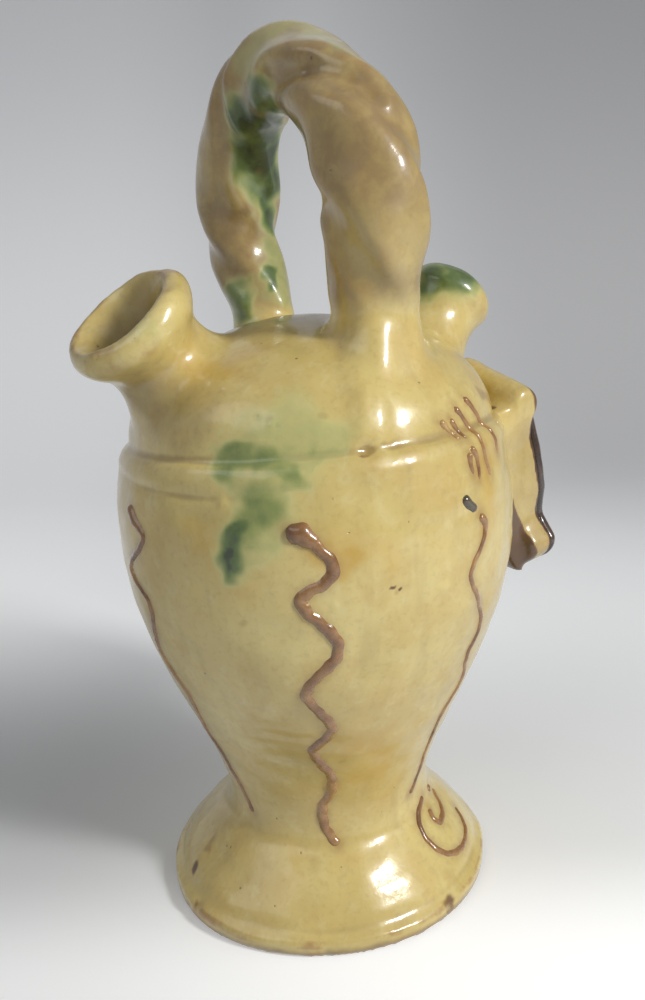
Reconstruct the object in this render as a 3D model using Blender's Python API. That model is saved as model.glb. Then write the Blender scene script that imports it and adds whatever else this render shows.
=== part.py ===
"""Small clay water jug on a pedestal foot, with a twisted handle over the top.

The jug is built as a potter builds it: a thrown foot, a thrown belly and a
thrown dome are joined with slip, then the filling mouth, the drinking spout,
the twisted handle of two coils, a cartouche and trails of slip are added.
The origin is the centre of the flat underside, +Z is up, the filling mouth
leans to -X and the drinking spout to +X. Lengths are in metres.
"""
import math

import bmesh
import bpy
from mathutils import Matrix, Vector

# Clearance that every touching pair of pieces keeps
GAP = 0.0003

# Thrown foot
FOOT_RADIUS = 0.0562
FOOT_CHAMFER = 0.0014
FOOT_EDGE_HEIGHT = 0.0048
FOOT_EDGE_DRAW = 0.0004
FLARE_LOWER_INSET = 0.0070
FLARE_LOWER_RISE = 0.0088
FLARE_UPPER_SWELL = 0.0075
FLARE_UPPER_FALL = 0.0068
FOOT_FLARE_HEIGHT = 0.0268
FOOT_TOP = 0.0340
FOOT_FLOOR = 0.0080
FOOT_FLOOR_RADIUS = 0.0270
FOOT_CAVITY_RADIUS = 0.0370
FOOT_CAVITY_HEIGHT = 0.0150

# Thrown belly
WAIST_RADIUS = 0.0356
BELLY_RADIUS = 0.0655
BELLY_HEIGHT = 0.1300
BELLY_FULLNESS = 0.785
SHOULDER_DRAW = 0.0035
SHOULDER_RADIUS = BELLY_RADIUS - SHOULDER_DRAW
SHOULDER_EDGE_RADIUS = 0.0036
WALL = 0.0062

# Ledge where the dome sits, and the hand-made lean of all that stands on it
LEDGE_HEIGHT = 0.1597
LEAN_ANGLE = math.radians(3.0)
LEAN_AZIMUTH = math.radians(150.0)

# Dome
LEDGE_WIDTH = 0.0030
DOME_RADIUS = SHOULDER_RADIUS - LEDGE_WIDTH
DOME_HEIGHT = 0.0355
DOME_WALL = 0.0060

# Filling mouth
MOUTH_OVERHANG = 0.0010
MOUTH_REACH = DOME_RADIUS + MOUTH_OVERHANG
MOUTH_RISE = 0.0420
MOUTH_TURN = math.radians(15.0)
MOUTH_ELEVATION = math.radians(51.0)
MOUTH_LIP_RADIUS = 0.0211
MOUTH_LIP_ROUND = 0.0036
MOUTH_NECK_RADIUS = 0.0157
MOUTH_NECK_DEPTH = 0.0150
MOUTH_THROAT_RADIUS = 0.0078
MOUTH_FUNNEL_DEPTH = 0.0150
MOUTH_SKIRT = 0.0065

# Drinking spout
SPOUT_OVERHANG = 0.0065
SPOUT_REACH = DOME_RADIUS + SPOUT_OVERHANG
SPOUT_RISE = 0.0419
SPOUT_ELEVATION = math.radians(50.0)
SPOUT_LIP_RADIUS = 0.0159
SPOUT_NECK_RADIUS = 0.0136
SPOUT_NECK_DEPTH = 0.0160
SPOUT_BORE_RADIUS = 0.0026
SPOUT_BORE_LENGTH = 0.0090
SPOUT_THROAT_RADIUS = 0.0060
SPOUT_SKIRT = 0.0060

# Handle, a low arch of two coils over the dome
HANDLE_CROWN = 0.1072
HANDLE_SQUARENESS = 2.07
HANDLE_SKEW = 0.0028
HANDLE_SHIFT = 0.0046
HANDLE_LEAN = math.radians(3.8)
HANDLE_FOOT_SPAN = 0.0360
HANDLE_SPAN = 0.0421
HANDLE_SPAN_HEIGHT = 0.0600
HANDLE_JOINT_HEIGHT = 0.0370
STRAND_THICKNESS = 0.0156
STRAND_WIDTH = 0.0292
STRAND_FLATNESS = 0.30
ROPE_AT_CROWN = 0.784
ROPE_AT_FOOT = 0.837
ROPE_TAPER = 0.135
STRAND_TURN = 0.0976
STRAND_PHASE = math.radians(-6.0)
SURGE_TURN = math.radians(45.0)
SURGE_PLACE = 0.0260
SURGE_LENGTH = 0.0200
SEAM_SHIFT = 0.0040
SEAM_LENGTH = 0.0240
ROOT_SKIRT = 0.0034
ROOT_TAIL = 0.0052
ROOT_TAIL_AZIMUTH = math.radians(-37.0)

# Cartouche under the spout
CARTOUCHE_HALF_WIDTH = 0.0300
CARTOUCHE_HEIGHT = 0.0645
CARTOUCHE_RISE = 0.0037
CARTOUCHE_TOP = LEDGE_HEIGHT + CARTOUCHE_RISE
CARTOUCHE_BOTTOM = CARTOUCHE_TOP - CARTOUCHE_HEIGHT
CARTOUCHE_THICKNESS = 0.0100
CARTOUCHE_OFFSET = 0.0010
CARTOUCHE_LEAN = math.radians(7.0)
PAD_HALF_WIDTH = 0.0150
PAD_HEIGHT = 0.0360
PAD_DROP = 0.0150
PAD_TOP = CARTOUCHE_TOP - PAD_DROP
PAD_BOTTOM = PAD_TOP - PAD_HEIGHT
PAD_DEPTH = 0.0080
CARTOUCHE_EDGE = 0.0012
BORDER_INSET = 0.0004
BORDER_WIDTH = 0.0032
BORDER_SLANT = 0.0008
BORDER_HEIGHT = 0.0020
GABLE_FALL = 0.0065
GABLE_WIDTH = 0.86
ROLL_RADIUS = 0.0066
ROLL_TIP_RADIUS = 0.0036
ROLL_HALF_LENGTH = 0.0315
ROLL_END = 0.6

# Slip trails down the belly
# Each is (azimuth at its head, azimuth at its end, top, bottom, where its wave starts),
# with the top and the bottom as shares of the ledge's height
TRAILS = ((-74.5, -66.0, 0.864, 0.207, 30.0),
          (-123.6, -120.3, 0.884, 0.163, -47.0),
          (-177.0, -172.0, 0.889, 0.194, 6.0),
          (127.0, 130.0, 0.877, 0.182, 70.0),
          (75.0, 70.0, 0.867, 0.200, 150.0))
TRAIL_WIDTH = 0.0027
TRAIL_HEIGHT = 0.0012
TRAIL_SWING = 0.0047
TRAIL_FADE = 0.60
TRAIL_WAVE = 0.0262
TRAIL_HEAD_LENGTH = 0.0075
TRAIL_HEAD_WIDTH = 0.0060
TRAIL_HEAD_HEIGHT = 0.0022

# Short strokes of slip on both sides of the cartouche, as (azimuth, height) ends,
# with heights as shares of the ledge's
STROKE_WIDTH = 0.0021
STROKE_HEIGHT = 0.0010
STROKES = (((81.2, 1.032), (77.0, 1.001)),
           ((77.4, 1.034), (73.6, 1.002)),
           ((73.0, 1.043), (66.6, 0.920)),
           ((67.5, 1.056), (60.2, 0.955)),
           ((75.7, 0.977), (75.1, 0.938)),
           ((72.9, 0.980), (71.3, 0.924)))

# Flat pellet of dark slip under the ledge
PELLET_AZIMUTH = -77.9
PELLET_DROP = 0.0178
PELLET_HEIGHT = LEDGE_HEIGHT - PELLET_DROP
PELLET_LENGTH = 0.0062
PELLET_FALL = 0.0042
PELLET_WIDTH = 0.0042
PELLET_RISE = 0.0011
PELLET_TAPER = 0.94

# Snail of slip on the foot
SNAIL_AZIMUTH = 58.0
SNAIL_HEIGHT = 0.0200
SNAIL_RADIUS = 0.0092
SNAIL_EYE = 0.0030
SNAIL_TURNS = 1.6

# Facets, and how much closer the belly's rings stand towards the waist
AROUND = 42
RING_SPREAD = 1.2

# Distance over which the slope of the outside is read
SLOPE_STEP = 0.0008

# Glazes
CREAM = (0.62, 0.53, 0.25)
GREEN = (0.30, 0.42, 0.12)
BROWN = (0.28, 0.11, 0.045)
DARK = (0.05, 0.07, 0.035)


def clear_scene():
    for item in list(bpy.data.objects):
        bpy.data.objects.remove(item, do_unlink=True)


def clay(name, colour, roughness):
    material = bpy.data.materials.new(name)
    material.use_nodes = True
    shader = material.node_tree.nodes["Principled BSDF"]
    shader.inputs["Base Color"].default_value = (*colour, 1.0)
    shader.inputs["Roughness"].default_value = roughness
    shader.inputs["Metallic"].default_value = 0.0
    return material


def skin(name, rings, material=None, closed=False, sharp=50.0):
    """Join rings of points in order into one closed body.

    A ring of one point makes a fan. A run that isn't closed on itself and ends
    in a full ring gets a fan over that ring.
    """
    mesh_data = bmesh.new()
    rings = [list(ring) for ring in rings]
    if not closed:
        for end, at in ((rings[0], 0), (rings[-1], len(rings) + 1)):
            if len(end) > 1:
                rings.insert(at, [sum((Vector(point) for point in end), Vector()) / len(end)])
    rows = [[mesh_data.verts.new(point) for point in ring] for ring in rings]
    pairs = list(zip(rows, rows[1:]))
    if closed:
        pairs.append((rows[-1], rows[0]))
    for row_a, row_b in pairs:
        count = max(len(row_a), len(row_b))
        for i in range(count):
            j = (i + 1) % count
            corners = (row_a[i % len(row_a)], row_a[j % len(row_a)],
                       row_b[j % len(row_b)], row_b[i % len(row_b)])
            mesh_data.faces.new(list(dict.fromkeys(corners)))
    bmesh.ops.recalc_face_normals(mesh_data, faces=mesh_data.faces[:])
    mesh = bpy.data.meshes.new(name)
    mesh_data.to_mesh(mesh)
    mesh_data.free()
    if material:
        mesh.materials.append(material)
    mesh.shade_smooth()
    mesh.set_sharp_from_angle(angle=math.radians(sharp))
    item = bpy.data.objects.new(name, mesh)
    bpy.context.collection.objects.link(item)
    return item


# Turns a ring drawn round Z to run round Y
UPRIGHT = Matrix.Rotation(math.pi / 2, 4, 'X')


def circle(radius, height, around, frame=None):
    """Points round Z at a height; a radius of zero gives the one point on the axis."""
    if radius == 0.0:
        points = [Vector((0, 0, height))]
    else:
        points = [Vector((radius * math.cos(2 * math.pi * i / around),
                          radius * math.sin(2 * math.pi * i / around), height))
                  for i in range(around)]
    return [frame @ point for point in points] if frame else points


def turned(name, profile, material=None, around=AROUND, place=None, closed=False):
    """Turn (radius, height) points about Z."""
    rings = [circle(radius, height, around) for radius, height in profile]
    if place:
        rings = [[place(point) for point in ring] for ring in rings]
    return skin(name, rings, material, closed)


def cut(item, cutter):
    cutter.hide_render = True
    cutter.display_type = 'WIRE'
    step = item.modifiers.new("cut by " + cutter.name, 'BOOLEAN')
    step.operation = 'DIFFERENCE'
    step.solver = 'EXACT'
    step.object = cutter


def smooth_curve(points, steps):
    """Catmull-Rom curve through the points, with a number of steps per span."""
    points = [Vector(point) for point in points]
    ends = [2 * points[0] - points[1]] + points + [2 * points[-1] - points[-2]]
    curve = []
    for a, b, c, d in zip(ends, ends[1:], ends[2:], ends[3:]):
        for i in range(steps):
            t = i / steps
            curve.append(0.5 * (2 * b + (c - a) * t + (2 * a - 5 * b + 4 * c - d) * t ** 2
                                + (3 * b - a - 3 * c + d) * t ** 3))
    curve.append(points[-1])
    return curve


# Everything above the ledge stands in the leaning frame of the dome
LEAN_AXIS = Vector((-math.sin(LEAN_AZIMUTH), math.cos(LEAN_AZIMUTH), 0))
TOP_FRAME = (Matrix.Translation((0, 0, LEDGE_HEIGHT))
             @ Matrix.Rotation(LEAN_ANGLE, 4, LEAN_AXIS))


def on_top(point):
    return TOP_FRAME @ Vector(point)


def belly_bend(point):
    """Lift the upper belly into the plane of the leaning ledge."""
    share = (point.z - BELLY_HEIGHT) / (LEDGE_HEIGHT - BELLY_HEIGHT)
    share = min(max(share, 0.0), 1.0)
    share = share * share * (3 - 2 * share)
    along = point.x * math.cos(LEAN_AZIMUTH) + point.y * math.sin(LEAN_AZIMUTH)
    return Vector((point.x, point.y, point.z - along * math.tan(LEAN_ANGLE) * share))


def foot_flare():
    """Outer side of the foot, from the waist down to the edge."""
    return smooth_curve([(WAIST_RADIUS, 0, FOOT_FLARE_HEIGHT),
                         (WAIST_RADIUS + FLARE_UPPER_SWELL, 0,
                          FOOT_FLARE_HEIGHT - FLARE_UPPER_FALL),
                         (FOOT_RADIUS - FLARE_LOWER_INSET, 0,
                          FOOT_EDGE_HEIGHT + FLARE_LOWER_RISE),
                         (FOOT_RADIUS - FOOT_EDGE_DRAW, 0, FOOT_EDGE_HEIGHT)], 3)


def belly_radius(height):
    """Outer radius of the thrown body between the waist and the shoulder."""
    if height <= BELLY_HEIGHT:
        share = max(height - FOOT_TOP, 0.0) / (BELLY_HEIGHT - FOOT_TOP)
        swell = (1 - math.cos(math.pi * share ** BELLY_FULLNESS)) / 2
        return WAIST_RADIUS + (BELLY_RADIUS - WAIST_RADIUS) * swell
    shoulder = LEDGE_HEIGHT - SHOULDER_EDGE_RADIUS
    share = (height - BELLY_HEIGHT) / (shoulder - BELLY_HEIGHT)
    return BELLY_RADIUS - (BELLY_RADIUS - SHOULDER_RADIUS) * share ** 2


def outside_radius(height):
    """Radius of the whole outside, with a straight bridge over the ledge's groove."""
    shoulder = LEDGE_HEIGHT - SHOULDER_EDGE_RADIUS
    dome_start = LEDGE_HEIGHT + SHOULDER_EDGE_RADIUS
    if height >= dome_start:
        share = (height - LEDGE_HEIGHT - GAP) / DOME_HEIGHT
        return DOME_RADIUS * math.sqrt(max(1 - share ** 2, 0.0))
    if height > shoulder:
        share = (height - shoulder) / (dome_start - shoulder)
        return SHOULDER_RADIUS + (outside_radius(dome_start) - SHOULDER_RADIUS) * share
    flare = foot_flare()
    for upper, lower in zip(flare, flare[1:]):
        if lower.z <= height <= upper.z:
            share = (height - lower.z) / (upper.z - lower.z)
            return lower.x + (upper.x - lower.x) * share
    return belly_radius(height)


def outside_slope(height):
    """How fast the outside widens with height."""
    above = outside_radius(height + SLOPE_STEP)
    return (above - outside_radius(height - SLOPE_STEP)) / (2 * SLOPE_STEP)


def outside_point(azimuth, height, lift=0.0):
    """Point that lies a lift away from the outside, and the outward direction there."""
    slope = outside_slope(height)
    out = Vector((math.cos(azimuth), math.sin(azimuth), -slope)).normalized()
    radius = outside_radius(height)
    point = Vector((radius * math.cos(azimuth), radius * math.sin(azimuth), height))
    point += out * lift
    if height > LEDGE_HEIGHT:
        return on_top((point.x, point.y, point.z - LEDGE_HEIGHT)), TOP_FRAME.to_3x3() @ out
    return belly_bend(point), out


def make_foot(material):
    outside = [(point.x, point.z) for point in foot_flare()]
    underside = [(FOOT_RADIUS, FOOT_CHAMFER), (FOOT_RADIUS - FOOT_CHAMFER, 0.0), (0.0, 0.0)]
    inner = WAIST_RADIUS - WALL
    hollow = smooth_curve([(FOOT_FLOOR_RADIUS, 0, FOOT_FLOOR),
                           (FOOT_CAVITY_RADIUS, 0, FOOT_CAVITY_HEIGHT),
                           (inner, 0, FOOT_FLARE_HEIGHT)], 3)
    inside = [(0.0, FOOT_FLOOR)] + [(point.x, point.z) for point in hollow]
    rim = [(inner, FOOT_TOP), (WAIST_RADIUS, FOOT_TOP)]
    turned("foot", inside + rim + outside + underside, material)


def belly_outline(inset=0.0, steps=12):
    bottom = FOOT_TOP + GAP
    top = LEDGE_HEIGHT - SHOULDER_EDGE_RADIUS
    heights = [bottom + (top - bottom) * (i / steps) ** RING_SPREAD for i in range(steps + 1)]
    return [(belly_radius(height) - inset, height) for height in heights]


def make_belly(material):
    outside = belly_outline()
    for degrees in (30, 60, 90):
        turn = math.radians(degrees)
        outside.append((SHOULDER_RADIUS - SHOULDER_EDGE_RADIUS * (1 - math.cos(turn)),
                        LEDGE_HEIGHT - SHOULDER_EDGE_RADIUS * (1 - math.sin(turn))))
    inside = belly_outline(WALL, 7)
    rim = [(DOME_RADIUS - DOME_WALL, LEDGE_HEIGHT)]
    turned("belly", outside + rim + inside[::-1], material, place=belly_bend, closed=True)


def dome_outline(shrink=0.0, steps=9):
    """Points of the dome's outline from the ledge up to the axis."""
    points = []
    for i in range(steps):
        turn = math.pi / 2 * i / steps
        points.append(((DOME_RADIUS - shrink) * math.cos(turn),
                       GAP + (DOME_HEIGHT - shrink) * math.sin(turn)))
    return points + [(0.0, GAP + DOME_HEIGHT - shrink)]


def make_dome(material):
    inside = dome_outline(DOME_WALL, 7)
    return turned("shoulder_dome", inside[::-1] + dome_outline(), material, place=on_top)


def neck_frame(reach, rise, elevation, side, turn=0.0):
    """Frame at the centre of a lip, with +Z out along the neck, in the dome's frame."""
    tilt = Matrix.Rotation(side * (math.pi / 2 - elevation), 4, 'Y')
    return Matrix.Translation((side * reach, 0, rise)) @ Matrix.Rotation(turn, 4, 'Z') @ tilt


def seat_on_dome(frame, radius, angle):
    """Where a line parallel to a piece's axis comes down onto the dome, plus clearance."""
    start = frame @ Vector((radius * math.cos(angle), radius * math.sin(angle), 0))
    along = frame.to_3x3() @ Vector((0, 0, -1))
    width = DOME_RADIUS + GAP
    height = DOME_HEIGHT + GAP
    scaled = Vector((start.x / width, start.y / width, (start.z - GAP) / height))
    course = Vector((along.x / width, along.y / width, along.z / height))
    a = course.dot(course)
    b = 2 * scaled.dot(course)
    c = scaled.dot(scaled) - 1
    reach = (-b - math.sqrt(max(b * b - 4 * a * c, 0.0))) / (2 * a)
    return start + along * reach


def skirt_rings(frame, radius_at, depth, skirt_at, around, hollow, steps=5):
    """Rings from a neck's side down to a flared edge on the dome, and back under it.

    The first ring is the neck at its depth. Each side line bends out onto the dome
    like slip smoothed with a thumb, and the underside follows the dome's surface.
    """
    rings = [[] for _ in range(steps)]
    under = [1.0, 0.72, 0.42] if hollow == 0.0 else [1.0, 0.55, 0.0]
    beneath = [[] for _ in under]
    for i in range(around):
        angle = 2 * math.pi * i / around
        radius = radius_at(angle)
        spread = radius + skirt_at(angle)
        top = frame @ Vector((radius * math.cos(angle), radius * math.sin(angle), -depth))
        straight = seat_on_dome(frame, radius, angle)
        corner = straight.lerp(top, 0.30)
        edge = seat_on_dome(frame, spread, angle)
        for k in range(steps):
            t = k / steps
            rings[k].append(on_top(top * (1 - t) ** 2 + corner * 2 * t * (1 - t)
                                   + edge * t ** 2))
        for k, share in enumerate(under):
            beneath[k].append(on_top(seat_on_dome(frame, hollow + (spread - hollow) * share,
                                                  angle)))
    if hollow == 0.0:
        beneath.append([on_top(seat_on_dome(frame, 0.0, 0.0))])
    return rings + beneath


def bore_cutter(name, frame, radius, around):
    middle = frame.inverted() @ seat_on_dome(frame, 0.0, 0.0)
    reach = 2.5 * DOME_WALL
    place = TOP_FRAME @ frame @ Matrix.Translation((0, 0, middle.z))
    rings = [circle(radius, reach, around, place), circle(radius, -reach, around, place)]
    return skin(name, rings)


def make_mouth(material):
    frame = neck_frame(MOUTH_REACH, MOUTH_RISE, MOUTH_ELEVATION, -1, MOUTH_TURN)
    around = 30
    crest = MOUTH_LIP_RADIUS - MOUTH_LIP_ROUND
    line = smooth_curve([(MOUTH_THROAT_RADIUS, 0, -MOUTH_FUNNEL_DEPTH),
                         (MOUTH_THROAT_RADIUS * 1.45, 0, -MOUTH_FUNNEL_DEPTH * 0.6),
                         (crest * 0.86, 0, -MOUTH_LIP_ROUND * 0.5),
                         (crest, 0, 0.0),
                         (MOUTH_LIP_RADIUS, 0, -MOUTH_LIP_ROUND),
                         (MOUTH_LIP_RADIUS - MOUTH_LIP_ROUND, 0, -MOUTH_NECK_DEPTH * 0.58),
                         (MOUTH_NECK_RADIUS, 0, -MOUTH_NECK_DEPTH)], 2)
    rings = [circle(point.x, point.z, around, TOP_FRAME @ frame) for point in line[:-1]]
    rings += skirt_rings(frame, lambda angle: MOUTH_NECK_RADIUS, MOUTH_NECK_DEPTH,
                         lambda angle: MOUTH_SKIRT, around, MOUTH_THROAT_RADIUS)
    skin("filling_mouth", rings, material, closed=True)
    return bore_cutter("mouth_hole", frame, MOUTH_THROAT_RADIUS, around)


def make_spout(material):
    frame = neck_frame(SPOUT_REACH, SPOUT_RISE, SPOUT_ELEVATION, 1)
    around = 22
    lip = SPOUT_LIP_RADIUS
    line = smooth_curve([(SPOUT_BORE_RADIUS, 0, -lip * 0.20),
                         (SPOUT_BORE_RADIUS * 1.5, 0, -lip * 0.04),
                         (lip * 0.58, 0, 0.0),
                         (lip * 0.90, 0, -lip * 0.22),
                         (lip, 0, -lip * 0.55),
                         (SPOUT_NECK_RADIUS * 1.06, 0, -SPOUT_NECK_DEPTH * 0.72),
                         (SPOUT_NECK_RADIUS, 0, -SPOUT_NECK_DEPTH)], 2)
    rings = [circle(SPOUT_THROAT_RADIUS, -SPOUT_NECK_DEPTH, around, TOP_FRAME @ frame),
             circle(SPOUT_BORE_RADIUS, -SPOUT_BORE_LENGTH, around, TOP_FRAME @ frame)]
    rings += [circle(point.x, point.z, around, TOP_FRAME @ frame) for point in line[:-1]]
    rings += skirt_rings(frame, lambda angle: SPOUT_NECK_RADIUS, SPOUT_NECK_DEPTH,
                         lambda angle: SPOUT_SKIRT, around, SPOUT_THROAT_RADIUS)
    skin("drinking_spout", rings, material, closed=True)
    return bore_cutter("spout_hole", frame, SPOUT_THROAT_RADIUS, around)


def arch_path(count):
    """Even points along the handle's centreline, each with its distance from the crown."""
    side = []
    steps = 40
    for i in range(steps):
        share = i / steps
        bulge = (1 - math.cos(share * math.pi)) / 2
        side.append((HANDLE_FOOT_SPAN + (HANDLE_SPAN - HANDLE_FOOT_SPAN) * bulge,
                     HANDLE_JOINT_HEIGHT + (HANDLE_SPAN_HEIGHT - HANDLE_JOINT_HEIGHT) * share,
                     0.0))
    steps = 120
    for i in range(steps + 1):
        turn = math.pi / 2 * i / steps
        rise = math.sin(turn) ** (2 / HANDLE_SQUARENESS)
        side.append((HANDLE_SPAN * abs(math.cos(turn)) ** (2 / HANDLE_SQUARENESS),
                     HANDLE_SPAN_HEIGHT + (HANDLE_CROWN - HANDLE_SPAN_HEIGHT) * rise,
                     HANDLE_SKEW * rise))
    path = [Vector((0, skew - y, z)) for y, z, skew in side]
    path += [Vector((0, skew + y, z)) for y, z, skew in side[-2::-1]]
    lengths = [0.0]
    for a, b in zip(path, path[1:]):
        lengths.append(lengths[-1] + (b - a).length)
    even = []
    k = 0
    for i in range(count):
        want = lengths[-1] * i / (count - 1)
        while k < len(path) - 2 and lengths[k + 1] < want:
            k += 1
        share = (want - lengths[k]) / (lengths[k + 1] - lengths[k])
        even.append((path[k].lerp(path[k + 1], share), want - lengths[-1] / 2))
    return even


def rope_fullness(share):
    """Share of the rope's full thickness, from the front foot (-1) to the back foot (1)."""
    half = math.cos(math.pi * share)
    if abs(share) < 0.5:
        full = 1 - (1 - ROPE_AT_CROWN) * half
    else:
        full = 1 - (1 - ROPE_AT_FOOT) * half * half
    return full * (1 - ROPE_TAPER * (1 + share) / 2)


def rope_twist(along):
    """Turn of the rope's section at a distance from the crown."""
    surge = SURGE_TURN * math.exp(-((along - SURGE_PLACE) / SURGE_LENGTH) ** 2)
    return STRAND_PHASE + surge + 2 * math.pi * along / STRAND_TURN


def handle_lean(point):
    """Lean the arch a little towards the filling mouth, from its joint upwards."""
    rise = point.z - HANDLE_JOINT_HEIGHT
    return point + Vector((HANDLE_SHIFT - rise * math.tan(HANDLE_LEAN), 0, 0))


def make_strand(name, material, half_turn):
    """One of the two clay coils that twist round each other along the arch.

    Its section is a half round: full on the outside of the rope and nearly flat
    where it lies against the other coil, so that a groove shows between them.
    The coils were wrung a little tighter just past the crown, and at the crown the
    one towards the filling mouth is the thinner.
    """
    path = arch_path(41)
    length = path[-1][1]
    rings = []
    around = 13
    for i, (centre, along) in enumerate(path):
        if 0 < i < len(path) - 1:
            ahead = path[i + 1][0] - path[i - 1][0]
        else:
            ahead = Vector((0, 0, -along))
        side = Vector((1, 0, 0))
        out = side.cross(ahead).normalized()
        twist = rope_twist(along) + half_turn
        across = side * math.cos(twist) + out * math.sin(twist)
        upright = out * math.cos(twist) - side * math.sin(twist)
        full = rope_fullness(along / length)
        thick = STRAND_THICKNESS * full
        seam = -math.cos(half_turn) * SEAM_SHIFT * math.exp(-(along / SEAM_LENGTH) ** 2)
        ring = []
        for j in range(around):
            angle = 2 * math.pi * (j + 0.5) / around
            flat = math.cos(angle)
            if flat < 0:
                flat = -(-flat) ** STRAND_FLATNESS
            reach = GAP / 2 + seam + (thick - seam) / 2 * (1 + flat)
            rise = STRAND_WIDTH / 2 * full * math.sin(angle)
            ring.append(on_top(handle_lean(centre + across * reach + upright * rise)))
        rings.append(ring)
    skin(name, rings, material)


def make_root(name, material, side):
    """Foot of the handle: a wad of clay thumbed onto the dome, with a drawn-down tail."""
    frame = Matrix.Translation((HANDLE_SHIFT, side * HANDLE_FOOT_SPAN,
                                HANDLE_JOINT_HEIGHT - GAP))

    twist = rope_twist(side * arch_path(2)[1][1])

    full = rope_fullness(side)

    def rope(angle):
        turn = angle - side * twist
        return full / math.hypot(math.cos(turn) / STRAND_THICKNESS,
                                 math.sin(turn) / (STRAND_WIDTH / 2))

    def skirt(angle):
        outward = side * math.pi / 2 + ROOT_TAIL_AZIMUTH
        return ROOT_SKIRT + ROOT_TAIL * max(math.cos(angle - outward), 0.0) ** 12

    skin(name, skirt_rings(frame, rope, 0.0, skirt, 24, 0.0), material)


def bead(name, spine, material, lift=GAP):
    """Raised bead of slip; each point of its spine is (azimuth, height, width, rise)."""
    points = [outside_point(math.radians(azimuth), height, lift)
              for azimuth, height, _, _ in spine]
    rings = []
    for i, (point, out) in enumerate(points):
        ahead = points[min(i + 1, len(points) - 1)][0] - points[max(i - 1, 0)][0]
        across = ahead.cross(out).normalized()
        width, rise = spine[i][2:]
        rings.append([point + across * width * x + out * rise * y
                      for x, y in ((-0.5, 0.0), (-0.36, 0.7), (0.0, 1.0),
                                   (0.36, 0.7), (0.5, 0.0))])
    skin(name, rings, material, sharp=80.0)


def make_trail(name, material, head_azimuth, end_azimuth, top_share, bottom_share, phase):
    """Wavy trail of slip from a thick head near the shoulder down to the waist."""
    spine = []
    steps = 34
    top = LEDGE_HEIGHT * top_share
    length = top - LEDGE_HEIGHT * bottom_share
    for i in range(steps + 1):
        share = (i / steps) ** 1.08
        height = top - length * share
        azimuth = head_azimuth + (end_azimuth - head_azimuth) * share
        swing = TRAIL_SWING * (1 - TRAIL_FADE * share)
        wave = math.sin(2 * math.pi * length * share / TRAIL_WAVE + math.radians(phase))
        shift = math.degrees(swing * wave / outside_radius(height))
        head = max(1 - length * share / TRAIL_HEAD_LENGTH, 0.0)
        end = min(1.0, 3 * (1 - share) + 0.35) * (0.6 if i == 0 else 1.0)
        spine.append((azimuth + shift, height,
                      (TRAIL_WIDTH + (TRAIL_HEAD_WIDTH - TRAIL_WIDTH) * head ** 0.5) * end,
                      (TRAIL_HEIGHT + (TRAIL_HEAD_HEIGHT - TRAIL_HEIGHT) * head ** 0.5) * end))
    bead(name, spine, material)


def make_stroke(name, material, ends, side):
    spine = []
    steps = 6
    for i in range(steps + 1):
        share = i / steps
        azimuth = ends[0][0] + (ends[1][0] - ends[0][0]) * share
        height = LEDGE_HEIGHT * (ends[0][1] + (ends[1][1] - ends[0][1]) * share)
        fade = math.sin(math.pi * (0.12 + 0.76 * share)) ** 0.6
        spine.append((side * azimuth, height, STROKE_WIDTH * fade, STROKE_HEIGHT * fade))
    bead(name, spine, material)


def make_snail(name, material, side):
    """Spiral of slip on the flare of the foot."""
    spine = []
    steps = 26
    flare = math.hypot(outside_slope(SNAIL_HEIGHT), 1.0)
    for i in range(steps + 1):
        share = i / steps
        turn = math.pi / 2 + 2 * math.pi * SNAIL_TURNS * share
        radius = SNAIL_RADIUS + (SNAIL_EYE - SNAIL_RADIUS) * share
        height = SNAIL_HEIGHT + radius * math.sin(turn) / flare
        shift = math.degrees(radius * math.cos(turn) / outside_radius(height))
        spine.append((side * (SNAIL_AZIMUTH + shift), height, STROKE_WIDTH, STROKE_HEIGHT))
    bead(name, spine, material)


def cartouche_frame():
    """Frame of the cartouche's back: +Z up along it and +X out through its face."""
    middle = (CARTOUCHE_BOTTOM + CARTOUCHE_TOP) / 2
    return (Matrix.Translation((BELLY_RADIUS + CARTOUCHE_OFFSET, 0, middle))
            @ Matrix.Rotation(-CARTOUCHE_LEAN, 4, 'Y'))


def cartouche_edge(inset=0.0):
    """Outline of the shield as (y, z) about its middle, from the top round to the top."""
    half = CARTOUCHE_HALF_WIDTH - inset
    tall = (CARTOUCHE_TOP - CARTOUCHE_BOTTOM) / 2 - inset
    eaves = tall - GABLE_FALL
    side = [Vector((0, half * share * GABLE_WIDTH, tall - GABLE_FALL * share))
            for share in (0.02, 0.34, 0.67)]
    side += smooth_curve([(0, half * GABLE_WIDTH, eaves),
                          (0, half * 0.95, tall * 0.35),
                          (0, half * 0.97, -tall * 0.02),
                          (0, half * 0.91, -tall * 0.36),
                          (0, half * 1.08, -tall * 0.66),
                          (0, half * 0.80, -tall * 0.90),
                          (0, half * 0.10, -tall * 1.00)], 3)
    return [(p.y, p.z) for p in side] + [(-p.y, p.z) for p in side[::-1]]


def slab(name, frame, levels, material, closed=False):
    """Shield-shaped rings, each (distance out of the back, inset from the outline)."""
    rings = [[frame @ Vector((x, y, z)) for y, z in cartouche_edge(inset)]
             for x, inset in levels]
    return skin(name, rings, material, closed)


def make_plate(frame, material):
    slab("cartouche_plate", frame,
         ((0.0, CARTOUCHE_EDGE), (CARTOUCHE_EDGE, 0.0), (CARTOUCHE_THICKNESS - CARTOUCHE_EDGE, 0.0),
          (CARTOUCHE_THICKNESS, CARTOUCHE_EDGE)), material)


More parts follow.
